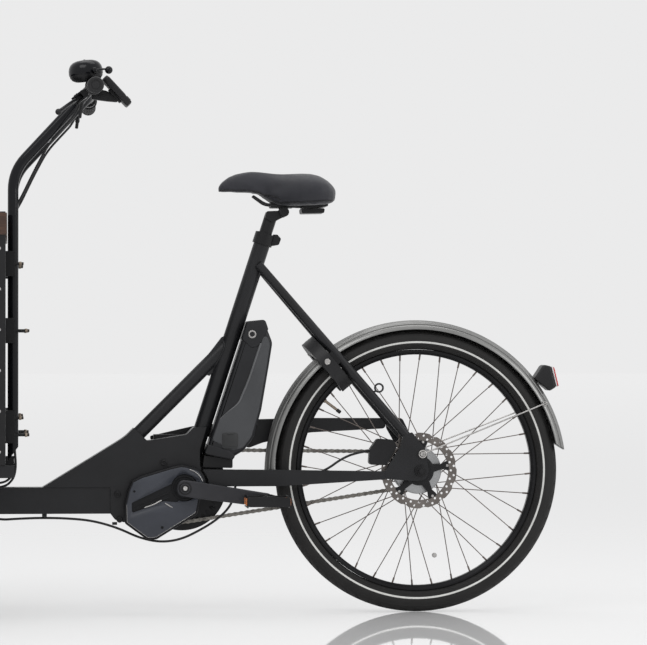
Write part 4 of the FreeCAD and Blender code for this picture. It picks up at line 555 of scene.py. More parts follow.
# ---------------------------------------------------------------- wheels
TYRE_MIDDLE = 277.0
TYRE_HALF = 23.5
TYRE_WALL = 3.5
TREAD_PITCHES = 72
SEGMENTS = 576


def tread_depth(bend, segment):
    """How deep the tread is cut, in millimetres, at a place across and round the tyre."""
    lean = abs(bend)
    if lean > 50:
        return 0.0
    if 13 < lean < 17:
        return 1.3
    phase = (segment + (lean * 0.14 if bend > 0 else lean * 0.14 + 4)) % (SEGMENTS / TREAD_PITCHES)
    if lean > 17 and phase < 1.6:
        return 1.5
    if lean < 8 and phase < 1.0:
        return 0.6
    return 0.0


def sidewall_ridge(bend):
    """The small rings moulded into the sidewall."""
    lean = abs(bend)
    rings = ((62.0, 2.5, 0.4), (116.0, 1.6, 0.5), (122.0, 1.6, 0.5), (129.0, 1.6, 0.6), (140.0, 3.0, 0.7))
    return sum(height for place, half, height in rings if abs(lean - place) < half)


def make_tyre(word):
    """A tyre with a cut tread, ringed sidewalls and a reflective stripe on each side."""
    centre = WHEELS[word]
    bends = [-155, -148, -143.5, -142, -138, -136.5, -131, -130, -128, -127, -124, -123, -121, -120,
             -118, -117, -115, -113, -109.8, -100.2, -98, -90, -82, -74, -67, -65, -64, -60, -59, -55,
             -50.5, -49.5, -44, -39, -34, -29, -24, -20, -17.5, -16.5, -13.5, -12.5, -8.5, -7.5, -3.5]
    bends = bends + [-bend for bend in reversed(bends)]
    inner = list(range(150, -151, -25))
    bm = bmesh.new()
    rings = []
    for segment in range(SEGMENTS):
        angle = 2 * math.pi * segment / SEGMENTS
        section = []
        for bend in bends:
            reach = TYRE_HALF - tread_depth(bend, segment) + sidewall_ridge(bend)
            section.append((min(reach, TYRE_HALF + 0.6), math.radians(bend)))
        section += [(TYRE_HALF - TYRE_WALL, math.radians(bend)) for bend in inner]
        rings.append([wheel_point(centre, TYRE_MIDDLE + reach * math.cos(lean), angle,
                                  reach * math.sin(lean))
                      for reach, lean in section])
    rows = loft(bm, rings, wrap=True)
    stripes = [index for index, bend in enumerate(bends[:-1])
               if 100 <= abs(bend) <= 110 and 100 <= abs(bends[index + 1]) <= 110]
    for segment, row in enumerate(rows):
        following = rows[(segment + 1) % SEGMENTS]
        for index in stripes:
            edge = bm.edges.get((row[index], following[index]))
            for face in edge.link_faces:
                if row[index + 1] in face.verts:
                    face.material_index = 1
    make_piece(f"{word}_tyre_tread", bm, f"{word}_wheel", "tyre_rubber", ["tyre_rubber", "stripe"],
               [f"{word}_tyre"], sharp=38.0)


def make_valve(word, angle):
    """A valve stem with its nut and cap, pointing at the hub."""
    centre = WHEELS[word]
    outward = wheel_point(Vector(), 1000.0, angle, 0)
    foot = centre + outward * 0.2455
    bm = bmesh.new()
    stem = [(0.5, -3), (4.6, -3), (4.6, 3.5), (3.2, 4), (3.0, 5), (3.0, 30)]
    stem += [(radius, 30 + 0.8 * step) for step, radius in enumerate([2.6, 3.0] * 4)] + [(0.4, 37)]
    turn(bm, foot, -outward, stem, sides=20)
    cap = [(2.9, 33.5), (3.9, 34), (3.9, 42), (3.2, 43.5), (0.4, 44)]
    turn(bm, foot, -outward, cap, sides=20, finish=1)
    make_piece(f"{word}_valve", bm, f"{word}_wheel", "steel", ["brass", "black_plastic"])


for word in WHEELS:
    make_tyre(word)
    make_valve(word, math.radians(143.0))


def make_magnet():
    """The speed sensor's magnet, clamped on a spoke of the rear wheel's left side."""
    bm = bmesh.new()
    profile = [(0.5, -5), (4.2, -5), (5.0, -3.5), (5.0, 5), (4.0, 6.5), (0.5, 6.8)]
    turn(bm, at(36.7, -17, 120), -ACROSS, profile, sides=24)
    make_piece("spoke_magnet", bm, "rear_wheel", "steel")


make_magnet()


def make_disc_carrier():
    """The rotor's black five-armed carrier with its rivets, and the caps on the axle's ends."""
    centre = WHEELS["rear"]
    outer, inner = (corner.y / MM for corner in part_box("rear_rotor"))

    def place(u, v, w):
        return centre + Vector((u, w, v)) * MM

    bm = bmesh.new()
    for index in range(5):
        angle = math.radians(10.0 + 72.0 * index)
        spin = Vector((math.cos(angle), math.sin(angle)))
        corners = [(25, -9.6, 0), (48, -5.6, 6), (57, -9, 3), (63.5, -10, 2), (63.5, 10, 2), (57, 9, 3),
                   (48, 5.6, 6), (25, 9.6, 0)]
        spun = [(spin.x * u - spin.y * v, spin.y * u + spin.x * v, radius) for u, v, radius in corners]
        slab(bm, rounded(spun), outer - 0.5, inner + 0.5, edge=0.4, place=place)
        turn(bm, place(spin.x * 60.5, spin.y * 60.5, outer - 0.3), -ACROSS,
             [(0.4, -0.5), (2.6, -0.5), (2.6, 0.5), (0.4, 0.9)], sides=18, finish=1)
    hub_ring = [(14, 0), (31.5, 0), (31.5, 3.2), (30, 3.8), (27.5, 3.8), (27.2, 4.6), (16.5, 4.6),
                (14, 4.4)]
    turn(bm, centre + ACROSS * (inner + 0.6) * MM, -ACROSS, hub_ring, sides=48)
    make_piece("disc_carrier", bm, "rear_wheel", "black_alloy", ["black_alloy", "steel"])
    bm = bmesh.new()
    for side, face in ((LEFT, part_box("dropouts")[0].y), (RIGHT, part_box("dropouts")[1].y)):
        spot = Vector((centre.x, face, centre.z))
        turn(bm, spot, ACROSS * side, [(0.5, -1), (12.5, -1), (12.5, 3.2), (11.4, 4.4), (0.5, 4.8)],
             sides=32)
        turn(bm, spot, ACROSS * side, [(3.0, 4.5), (6.4, 4.5), (6.2, 6.4), (5.2, 7.0), (3.0, 7.0)],
             sides=24, shape=hexagonal(7))
    make_piece("axle_caps", bm, "rear_frame", "black_alloy")


make_disc_carrier()

# ---------------------------------------------------------------- mudguards
GUARD_CROWN = 322.0
GUARD_DEPTH = 19.5
GUARD_WALL = 1.5


def guard_section():
    """The mudguard's outer line across its width: (radius, y), with fine ribs on its crown."""
    line = [(302.5, -29.4), (304.5, -29.0), (307.0, -28.0), (309.8, -26.6), (312.6, -24.9),
            (315.2, -22.6)]
    for step in range(-20, 21):
        y = float(step)
        fall = 5.2 * (abs(y) / 20.0) ** 2.6
        rib = 0.55 if step % 4 == 0 and abs(step) < 20 else 0.0
        line.append((GUARD_CROWN - 0.6 - fall + rib, y))
    line += [(radius, -y) for radius, y in reversed(line[:6])]
    return line


def make_guard(name, body, centre, first, last, stands_for=(), slant=0.0):
    """A ribbed mudguard between two angles; slant carries its crown past its sides at the first end."""
    outer = guard_section()
    steps = 110
    rings = []
    for step in range(steps + 1):
        share = step / steps
        ring = []
        for offset, line in ((0.0, outer), (GUARD_WALL, list(reversed(outer)))):
            for radius, y in line:
                side = max(0.0, (GUARD_CROWN - radius) / GUARD_DEPTH)
                start = first + slant * side
                angle = math.radians(start + (last - start) * share)
                rim = 0.5 if radius < 304 else 0.0
                across = y + math.copysign(rim - offset * side, y) if abs(y) > 22 else y
                ring.append(wheel_point(centre, radius - offset * (1 - side), angle, across))
        rings.append(ring)
    bm = bmesh.new()
    loft(bm, rings)
    return make_piece(name, bm, body, "guard_plastic", ["guard_plastic"], stands_for, sharp=50.0)


REAR_GUARD_CENTRE = at(-1.0, 0, 296.0)
make_guard("rear_guard_shell", "rear_frame", REAR_GUARD_CENTRE, 8.3, 181.5, ["rear_mudguard"], slant=3.2)


def make_rear_stays():
    """Stainless wire stays with an eye at the dropout and a clip on the mudguard."""
    bm = bmesh.new()
    for side in (LEFT, RIGHT):
        start = at(4.5, side * 79.5, 336)
        end = at(271, side * 33, 441)
        heading = (end - start).normalized()
        tube(bm, curved([start + heading * 0.007, start + heading * 0.12, end - heading * 0.02,
                         end + heading * 0.006]), 1.7, sides=10)
        loop = [start + spoke * 0.0075 for spoke in spokes(ALONG, UP, 20)]
        tube(bm, loop, 1.7, sides=8, closed=True)
        socket_screw(bm, at(4.5, side * 76, 336), ACROSS * side, 5.6, 6.5)
        socket_screw(bm, at(271, side * 30.2, 441), ACROSS * side, 5.4, 5.0)
    make_piece("rear_guard_stays", bm, "rear_frame", "steel")


make_rear_stays()


def make_front_guards():
    """The front mudguards and the rubber-faced brackets that hold them to the box."""
    for word, side in SIDES.items():
        centre = WHEELS[word]
        shell = make_guard(f"{word}_front_guard", "front", centre, 12.0, 168.0)
        if side == LEFT:
            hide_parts("front_mudguards")
        bm = bmesh.new()
        for angle in (50.0, 130.0):
            spot = wheel_point(centre, GUARD_CROWN - 16, math.radians(angle), 0)
            inner = Vector((spot.x, side * 0.3105, spot.z))
            turn(bm, inner, ACROSS * side,
                 [(0.5, 0), (11, 0), (11, 2.4), (10, 3), (5.2, 3.4), (5, 30), (5, 42), (9, 43),
                  (9.5, 44.5), (9, 46.5), (0.5, 47)], sides=24)
            socket_screw(bm, inner + ACROSS * side * 0.0028 + UP * 0.0075, ACROSS * side, 1.8, 1.4)
        make_piece(f"{word}_guard_brackets", bm, "front", "black_alloy")


make_front_guards()

# ---------------------------------------------------------------- tail light
LENS_FACES = ((286.9, 519.2, 297.7, 476.6), (290.3, 519.6, 300.4, 476.8), (293.6, 516.6, 302.6, 478.8))


def make_lens():
    """A lens of two layers, clear against the housing and red outside it, with a ribbed face."""
    bm = bmesh.new()
    for layer, finish in ((0, 1), (1, 0)):
        top_x, top_z, low_x, low_z = LENS_FACES[layer]
        outer_top_x, outer_top_z, outer_low_x, outer_low_z = LENS_FACES[layer + 1]
        line = [(top_x, top_z, 0.6), (outer_top_x, outer_top_z, 0.9), (outer_low_x, outer_low_z, 0.9),
                (low_x, low_z, 0.6)]
        slab(bm, rounded(line), -22.8, 22.8, edge=0.8, finish=finish)
    make_piece("tail_light_glass", bm, "rear_frame", "lens_red", ["lens_red", "lens_clear"],
               ["tail_light_lens"])
    bm = bmesh.new()
    for step in range(5):
        z = 480 + 7.6 * step
        x = 302.4 - (z - 479) * 0.238
        tube(bm, [at(x, -21.5, z), at(x, 21.5, z)], 0.8, sides=8)
    make_piece("tail_light_ribs", bm, "rear_frame", "lens_red")


make_lens()

# ---------------------------------------------------------------- chain
LINK_HEIGHT = 4.3
LINK_WAIST = 3.1
CHAIN_PITCH = 12.7
CHAIN_Y = 48.0
BIG_TEETH = 38
SMALL_TEETH = 18


def chain_points():
    """The pins of the chain, evenly spaced round both chain wheels."""
    big = Vector((CRANK_AXIS.x, CRANK_AXIS.z)) / MM
    small = Vector((middle("rear_sprocket").x, middle("rear_sprocket").z)) / MM
    big_reach = CHAIN_PITCH / 2 / math.sin(math.pi / BIG_TEETH)
    small_reach = CHAIN_PITCH / 2 / math.sin(math.pi / SMALL_TEETH)
    between = small - big
    heading = math.atan2(between.y, between.x)
    opening = math.acos((big_reach - small_reach) / between.length)
    run = math.sqrt(between.length ** 2 - (big_reach - small_reach) ** 2)
    round_small = small_reach * 2 * opening
    round_big = big_reach * (2 * math.pi - 2 * opening)
    total = 2 * run + round_small + round_big
    count = 2 * round(total / CHAIN_PITCH / 2)

    def on_circle(centre, radius, angle):
        return centre + Vector((math.cos(angle), math.sin(angle))) * radius

    legs = (
        (run, lambda way: on_circle(big, big_reach, heading + opening).lerp(
            on_circle(small, small_reach, heading + opening), way / run)),
        (round_small, lambda way: on_circle(small, small_reach, heading + opening - way / small_reach)),
        (run, lambda way: on_circle(small, small_reach, heading - opening).lerp(
            on_circle(big, big_reach, heading - opening), way / run)),
        (round_big, lambda way: on_circle(big, big_reach, heading - opening - way / big_reach)))
    points = []
    for index in range(count):
        travel = total * index / count
        for length, place in legs:
            if travel < length:
                break
            travel -= length
        points.append(place(travel))
    return points


def link_outline(length):
    """A link plate's waisted outline, from pin to pin."""
    points = []
    for end, start in ((length, -90), (0.0, 90)):
        for part in range(9):
            angle = math.radians(start + 180 * part / 8)
            points.append(Vector((end + LINK_HEIGHT * math.cos(angle), LINK_HEIGHT * math.sin(angle))))
        side = 1.0 if end else -1.0
        points.append(Vector((length / 2, side * LINK_WAIST)))
    return points


def make_chain():
    """A roller chain: inner and outer link plates in turn, on pins and rollers."""
    pins = chain_points()
    bm = bmesh.new()
    for index, here in enumerate(pins):
        following = pins[(index + 1) % len(pins)]
        heading = (following - here).normalized()
        square = Vector((-heading.y, heading.x))
        outline = link_outline((following - here).length)
        inner, outer = (2.3, 3.1) if index % 2 else (3.25, 4.05)

        def place(u, v, w, origin=here, along=heading, up=square):
            spot = origin + along * u + up * v
            return Vector((spot.x * MM, w * MM, spot.y * MM))

        for side in (LEFT, RIGHT):
            slab(bm, outline, CHAIN_Y + side * inner, CHAIN_Y + side * outer, place=place)
        foot = Vector((here.x * MM, (CHAIN_Y - 4.5) * MM, here.y * MM))
        turn(bm, foot, ACROSS, [(0.4, 0), (1.7, 0.2), (1.8, 2.3), (3.9, 2.3), (3.9, 6.7), (1.8, 6.7),
                                (1.7, 8.8), (0.4, 9.0)], sides=12)
    make_piece("chain_links", bm, "rear_frame", "chain_steel", stands_for=["chain"])


make_chain()


# ---------------------------------------------------------------- pedals and cranks
def make_pedal(word):
    """A steel cage pedal: toothed cage plates, end plates, a barrel and two reflectors."""
    centre = middle(f"{word}_pedal")

    def from_centre(x, y, z):
        return centre + Vector((x, y, z)) * MM

    bm = bmesh.new()
    for x_side in (LEFT, RIGHT):
        teeth = []
        for row, level in ((1, 12.4), (-1, -12.4)):
            for index in range(13):
                y = row * (45.5 - index * 91 / 12)
                teeth.append((y, level - (row * 2.6 if index % 2 else 0.0), 0.5))
        slab(bm, rounded(teeth, 30.0), x_side * 43.6 - 1.1, x_side * 43.6 + 1.1, edge=0.4, steps=1,
             place=lambda u, v, w: from_centre(w, u, v))
    for y_side in (LEFT, RIGHT):
        ends = [(-44, -10, 4), (44, -10, 4), (44, 10, 4), (20, 10, 6), (12, 12.5, 6), (-12, 12.5, 6),
                (-20, 10, 6), (-44, 10, 4)]
        slab(bm, rounded(ends), y_side * 44.6 - 1.4, y_side * 44.6 + 1.4, edge=0.5, steps=1,
             place=lambda u, v, w: from_centre(u, w, v))
    turn(bm, from_centre(0, -46.5, 0), ACROSS,
         [(7.4, 0), (10.5, 0.5), (11, 3), (11, 20), (9.4, 28), (9.4, 65), (11, 73), (11, 90),
          (10.5, 92.5), (7.4, 93)], sides=28)
    make_piece(f"{word}_pedal_cage", bm, f"{word}_pedal", "black_alloy", stands_for=[f"{word}_pedal"])
    bm = bmesh.new()
    for x_side in (LEFT, RIGHT):
        face = oblong(-29, -8, 29, 8, 2)
        slab(bm, face, x_side * 37.5, x_side * 46.6, edge=1.2,
             place=lambda u, v, w: from_centre(w, u, v))
        for step in range(-6, 7):
            tube(bm, [from_centre(x_side * 46.3, step * 4.2, -6.6),
                      from_centre(x_side * 46.3, step * 4.2, 6.6)],
                 0.7, sides=6)
    make_piece(f"{word}_pedal_reflectors", bm, f"{word}_pedal", "lens_red", ["amber"])


for word in SIDES:
    make_pedal(word)


def make_crank_caps():
    """The ringed cap and bright bolt at each crank's eye."""
    bm = bmesh.new()
    for side in (LEFT, RIGHT):
        start = on_crank(side * 85.4)
        turn(bm, start, ACROSS * side,
             [(0.5, 0), (13.6, 0), (13.6, 1.4), (12.6, 2.2), (10.9, 2.3), (10.6, 1.2), (8.6, 1.2),
              (8.3, 2.4), (5.4, 2.9), (0.5, 2.9)], sides=40)
        socket_screw(bm, start + ACROSS * side * 0.0026, ACROSS * side, 4.6, 2.2, finish=1)
    make_piece("crank_caps", bm, "crank", "dark_alloy", ["black_alloy", "steel"])


make_crank_caps()

# ---------------------------------------------------------------- motor
MOTOR_LINE = [
    (-605.5, 281, 8), (-585, 291, 8), (-531, 307, 16), (-500, 315, 40), (-462, 305, 26), (-449, 281, 20),
    (-462, 240, 20), (-468, 210.5, 12), (-553, 158, 12), (-573, 157, 12), (-620, 192, 8), (-621, 231, 10),
    (-614, 261, 10),
]
MOTOR_RECESS = [(-605, 235, 3), (-521, 275, 5), (-506, 262, 8), (-506, 236, 6), (-541, 238, 8),
                (-579, 223, 10), (-605, 214, 3)]
MOTOR_MIDDLE = (-534.3, 240.0)
RIGHT_COVER_SHARE = 0.965


def carve(piece, cutter_bm):
    """Take a closed solid away from a piece."""
    bmesh.ops.recalc_face_normals(cutter_bm, faces=cutter_bm.faces)
    cutter = new_object("cutter", to_mesh("cutter", cutter_bm))
    modifier = piece.modifiers.new("carve", "BOOLEAN")
    modifier.operation = "DIFFERENCE"
    modifier.solver = "EXACT"
    modifier.object = cutter
    bpy.context.view_layer.update()
    apply_modifiers(piece)
    bpy.data.objects.remove(cutter)


def make_motor():
    """The motor's covers: a rimmed left cover with a wedge-shaped recess, and a plain right one."""
    line = rounded(MOTOR_LINE)
    bm = bmesh.new()
    slab(bm, line, -52.5, -45, edge=2.5)
    make_piece("motor_rim", bm, "rear_frame", "motor_metal", stands_for=["motor_covers"])
    bm = bmesh.new()
    slab(bm, drawn_in(line, 4.5), -56.0, -51.0, edge=1.6)
    face = make_piece("motor_face", bm, "rear_frame", "motor_plastic")
    recess = bmesh.new()
    slab(recess, rounded(MOTOR_RECESS), -60, -50)
    carve(face, recess)
    socket = bmesh.new()
    turn(socket, on_crank(-60), ACROSS, [(28.5, 0), (28.5, 10)], sides=64)
    carve(face, socket)
    bm = bmesh.new()
    turn(bm, on_crank(-53.5), -ACROSS,
         [(16.5, -2), (26.6, -2), (26.6, 1.2), (25.6, 2.0), (23.0, 2.0), (22.4, 1.0), (19.6, 1.0),
          (19.0, 2.4), (16.5, 2.4)], sides=64)
    for share in (0.25, 0.6):
        start = at(-600, -52.6, 217 + 15 * share)
        end = at(-527, -52.6, 238 + 30 * share)
        tube(bm, [start, end], [0.9, 1.8], sides=8)
    make_piece("motor_ring", bm, "rear_frame", "motor_metal")
    # Painted highlights: thin bright steel strips stand in for glints of light, not for parts. They run
    # along the recess's rib and below it, in an arc round the crank boss, and along the cover's lower and
    # front edges.
    bm = bmesh.new()
    tube(bm, curved([at(-580, -55.6, 224.6), at(-560, -55.9, 231.5), at(-543, -55.9, 240.5)]),
         [0.7] + [1.5] * 15 + [0.7], sides=10)
    tube(bm, [at(-536, -55.8, 234.5), at(-528, -56.2, 229.5), at(-520, -55.8, 225.0)], [0.8, 1.9, 0.8],
         sides=10)
    arc = [wheel_point(on_crank(0), 40.0, math.radians(18 + 3.0 * step), -55.9)
           for step in range(20)]
    tube(bm, arc, [0.4] + [1.3] * 18 + [0.4], sides=10)
    edge = [side_view(point.x, point.y, -55.4) for point in drawn_in(line, 5.3)]
    keep = [point for point in edge if point.z < 0.236 and (point - at(0, 0, 0)).x < -0.47]
    tube(bm, keep, 0.55, sides=8)
    make_piece("motor_painted_highlights", bm, "rear_frame", "steel")
    bm = bmesh.new()
    socket_screw(bm, at(-541.7, -55.8, 183.2), -ACROSS, 3.0, 1.2)
    socket_screw(bm, at(-600.0, -55.8, 259.0), -ACROSS, 2.4, 1.0)
    make_piece("motor_screws", bm, "rear_frame", "motor_metal")
    bm = bmesh.new()
    mid_x, mid_z = MOTOR_MIDDLE
    right = [(mid_x + (x - mid_x) * RIGHT_COVER_SHARE, mid_z + (z - mid_z) * RIGHT_COVER_SHARE, radius)
             for x, z, radius in MOTOR_LINE]
    slab(bm, rounded(right), 38, 42, edge=1.5)
    make_piece("motor_right_face", bm, "rear_frame", "motor_plastic")
    bm = bmesh.new()
    for x, z in ((-634, 252), (-537, 318), (-630, 199)):
        for side in (LEFT, RIGHT):
            socket_screw(bm, at(x, side * 28.6, z), ACROSS * side, 6.6, 4.4)
    make_piece("motor_bolts", bm, "rear_frame", "black_alloy")


make_motor()

# ---------------------------------------------------------------- battery
SEAT_ANGLE = math.radians(72.0)
SEAT_FOOT = (-495, 266)


def by_seat_tube(rearward, along, y):
    """A point measured along the seat tube from its foot at the crank axis and rearward square to it."""
    x = SEAT_FOOT[0] + along * math.cos(SEAT_ANGLE) + rearward * math.sin(SEAT_ANGLE)
    z = SEAT_FOOT[1] + along * math.sin(SEAT_ANGLE) - rearward * math.cos(SEAT_ANGLE)
    return at(x, y, z)


BATTERY_LINE = [
    (21, 370, 6), (52, 385, 10), (83, 347, 20), (90.5, 301, 60), (104.5, 205, 60), (106.5, 143, 30),
    (95.5, 112, 24), (79, 93, 10), (21, 83, 6),
]
PANEL_LINE = [
    (60, 366, 6), (79, 342, 18), (86, 300, 60), (99.5, 205, 60), (101.5, 145, 28), (92, 116, 20),
    (74, 106, 8), (25, 112, 5), (26, 158, 6), (54, 205, 30), (60, 262, 60),
]
TOP_LINE = [(19, 334, 4), (19, 373.5, 6), (53, 388.5, 8), (66, 371, 6), (57, 330, 8), (44, 322, 6)]
FOOT_LINE = [(19, 80, 4), (19, 102, 4), (64, 104, 5), (82, 96, 4), (79, 86, 3)]
CREASE = [(60, 338), (59.6, 300), (59.2, 262), (56.5, 225), (53, 203), (38, 179), (27, 160)]


def make_battery():
    """The battery: a dark core, a lighter raised side panel with a painted highlight along its crease, a
    black lock block and a black foot.
    """
    bm = bmesh.new()
    slab(bm, rounded(BATTERY_LINE), -42, 42, edge=8, steps=5, place=by_seat_tube)
    make_piece("battery_core", bm, "battery", "battery_plastic", ["battery_dark"], ["battery_case"])
    bm = bmesh.new()
    for side in (LEFT, RIGHT):
        slab(bm, rounded(PANEL_LINE), side * 38.5, side * 43.4, edge=2.2, steps=4, place=by_seat_tube)
    make_piece("battery_panels", bm, "battery", "battery_plastic")
    # Painted highlight: a lighter tube along the crease of each side panel stands in for the bright line
    # of light the crease catches.
    bm = bmesh.new()
    for side in (LEFT, RIGHT):
        line = curved([by_seat_tube(rearward, along, side * 42.4) for rearward, along in CREASE])
        widths = [min(2.4, max(0.8, 2.4 - 0.11 * (index - 26))) for index in range(len(line))]
        tube(bm, line, widths, sides=10)
    make_piece("battery_crease_highlight", bm, "battery", "battery_plastic", ["painted_crease_highlight"])
    bm = bmesh.new()
    slab(bm, rounded(TOP_LINE), -43.8, 43.8, edge=3.0, steps=3, place=by_seat_tube)
    slab(bm, rounded(FOOT_LINE), -43.6, 43.6, edge=2.5, steps=3, place=by_seat_tube)
    make_piece("battery_blocks", bm, "battery", "battery_plastic", ["battery_dark"])
    bm = bmesh.new()
    spot = at(-352, -43.6, 588)
    collar = [(5.4, -1), (8.6, -1), (8.6, 1.6), (7.8, 2.2), (5.6, 2.2), (5.2, 1.0)]
    turn(bm, spot, -ACROSS, collar, sides=36)
    disc = [(0.5, -1), (5.3, -1), (5.3, 0.9), (4.8, 1.2), (0.5, 1.2)]
    turn(bm, spot, -ACROSS, disc, sides=32, finish=1)
    slab(bm, rounded([(-352.7, 584.6, 0.6), (-351.3, 584.6, 0.6), (-351.3, 591.4, 0.6),
                      (-352.7, 591.4, 0.6)]),
         -45.0, -44.4, finish=1)
    make_piece("battery_lock_ring", bm, "battery", "steel", ["steel", "battery_dark"])


make_battery()


def make_port_flap():
    """The soft square flap over the charge port, with a thumb edge."""
    bm = bmesh.new()
    face = rounded([(-415.4, 347.6, 5), (-415.4, 381.4, 5), (-381.6, 381.4, 5), (-381.6, 347.6, 5)])
    slab(bm, face, -44.6, -41.2, edge=1.2)
    slab(bm, drawn_in(face, 4.0), -45.2, -43.6, edge=0.6)
    tube(bm, [at(-404, -45.2, 378.6), at(-393, -45.2, 378.6)], 0.9, sides=8)
    make_piece("port_flap_skin", bm, "port_flap", "flap_rubber", stands_for=["port_cover"])


make_port_flap()


# ---------------------------------------------------------------- frame details
def weld_bead(bm, target, start, heading, radius, bead=1.9):
    """A rippled weld bead where a round tube that runs along a heading meets another tube."""
    surface = surface_of(NODES[target].data)
    heading = heading.normalized()
    ring = []
    radii = []
    for index, spoke in enumerate(spokes(*cross_frame(heading), 72)):
        hit = surface.ray_cast(start + spoke * radius * MM, heading)[0]
        if hit is None:
            return
        ring.append(hit)
        radii.append(bead * (1.0 + 0.12 * math.sin(index * 2.0)))
    tube(bm, ring, radii, sides=8, closed=True)


def make_welds():
    """Weld beads at the tops of the seat stays and of the down tube."""
    bm = bmesh.new()
    for side in (LEFT, RIGHT):
        top = at(-337, side * 16, 735)
        foot = at(-26, side * 65, 372)
        heading = (top - foot).normalized()
        weld_bead(bm, "seat_tube", top - heading * 0.06, heading, 9.4)
    down_start = at(-585, 0, 382.7)
    down_end = at(-397, 0, 570.1)
    heading = (down_end - down_start).normalized()
    weld_bead(bm, "seat_tube", down_end - heading * 0.08, heading, 14.8, bead=2.4)
    make_piece("weld_beads", bm, "rear_frame", "frame_paint")


make_welds()


LOCK_CENTRE = at(-189.0, 0, 522.4)
LOCK_UP = Vector((-0.648, 0, 0.761)).normalized()
LOCK_OUT = Vector((0.761, 0, 0.648)).normalized()


def make_lock_details():
    """Soften the ring lock's edges, and add its bright rivets and its key barrel."""
    edges = NODES["lock_body"].modifiers.new("soft_edges", "BEVEL")
    edges.width = 0.003
    edges.segments = 3
    edges.angle_limit = math.radians(50)
    bm = bmesh.new()
    for side in (LEFT, RIGHT):
        spot = LOCK_CENTRE + LOCK_UP * 0.040 + ACROSS * side * 0.044 - LOCK_OUT * 0.0134
        turn(bm, spot, -LOCK_OUT, [(0.4, -1), (4.2, -1), (4.2, 0.8), (3.0, 1.8), (0.4, 2.2)], sides=20)
    barrel = LOCK_CENTRE + LOCK_UP * 0.010 + ACROSS * LEFT * 0.0685
    profile = [(0.4, -3), (6.4, -3), (6.4, 1.0), (5.6, 1.8), (4.6, 1.8), (4.4, 0.8), (0.4, 0.8)]
    turn(bm, barrel, -ACROSS, profile, sides=28)
    make_piece("lock_rivets", bm, "rear_frame", "steel")


make_lock_details()

# ---------------------------------------------------------------- saddle
# stations along the saddle: X, half width, top, lower edge, centre dip, all in millimetres
SADDLE_STATIONS = [
    (-424.0, 9.0, 901.0, 888.5, 0.0), (-417.0, 15.5, 911.5, 887.5, 0.0),
    (-402.0, 18.5, 922.5, 888.0, 0.0), (-386.0, 20.5, 927.5, 887.0, 0.0),
    (-366.0, 23.0, 929.5, 886.0, 0.3), (-345.0, 26.5, 929.3, 883.5, 0.8),
    (-325.0, 32.0, 928.0, 874.0, 1.5), (-306.0, 44.0, 926.0, 861.0, 2.5),
    (-288.0, 60.0, 924.5, 858.0, 3.6), (-268.0, 77.0, 924.3, 857.5, 4.6),
    (-248.0, 89.5, 925.0, 858.0, 5.2), (-228.0, 96.0, 924.0, 858.5, 5.2),
    (-209.0, 96.5, 919.5, 859.5, 4.6), (-193.0, 89.0, 912.0, 860.5, 3.4),
    (-181.0, 74.0, 902.0, 862.0, 2.0), (-174.0, 52.0, 892.0, 864.0, 0.8),
]
PAD_CAP = 0.0035
CLOTH_FRAMES = 20


def saddle_ring(station):
    """One closed section of the saddle."""
    x, half, top, low, dip = station
    shoulder = low + 0.42 * (top - low)
    points = []
    for step in range(-12, 13):
        bend = math.radians(step * 10.0)
        lean = abs(bend)
        if lean <= math.pi / 2:
            y = half * math.copysign(abs(math.sin(bend)) ** 0.82, bend)
            z = shoulder + (top - shoulder) * abs(math.cos(bend)) ** 0.62
            z -= dip * math.exp(-(y / 16.0) ** 2)
        else:
            past = (lean - math.pi / 2) / math.radians(30.0)
            y = math.copysign(half * (1 - 0.10 * past ** 1.5), bend)
            z = shoulder + (low - shoulder) * past
        points.append(at(x, y, z))
    last = half * 0.90
    for share in (0.8, 0.4, 0.0, -0.4, -0.8):
        points.append(at(x, last * share, low + 7.0 * (1 - abs(share) ** 3)))
    return points


def swell(piece):
    """Blow the cover up a little as cloth over its filling, and cap how far each point may move."""
    remesh = piece.modifiers.new("even", "REMESH")
    remesh.mode = "VOXEL"
    remesh.voxel_size = 0.0045
    bpy.context.view_layer.update()
    even = apply_modifiers(piece)
    start = [vertex.co.copy() for vertex in even.vertices]
    cloth = piece.modifiers.new("cloth", "CLOTH")
    cloth.settings.use_pressure = True
    cloth.settings.uniform_pressure_force = 4.0
    cloth.settings.effector_weights.gravity = 0.0
    cloth.settings.quality = 6
    cloth.point_cache.frame_start = 1
    cloth.point_cache.frame_end = CLOTH_FRAMES
    scene = bpy.context.scene
    for number in range(1, CLOTH_FRAMES + 1):
        scene.frame_set(number)
    blown = apply_modifiers(piece)
    for vertex, origin in zip(blown.vertices, start):
        shift = vertex.co - origin
        if shift.length > PAD_CAP:
            vertex.co = origin + shift.normalized() * PAD_CAP
    scene.frame_set(1)


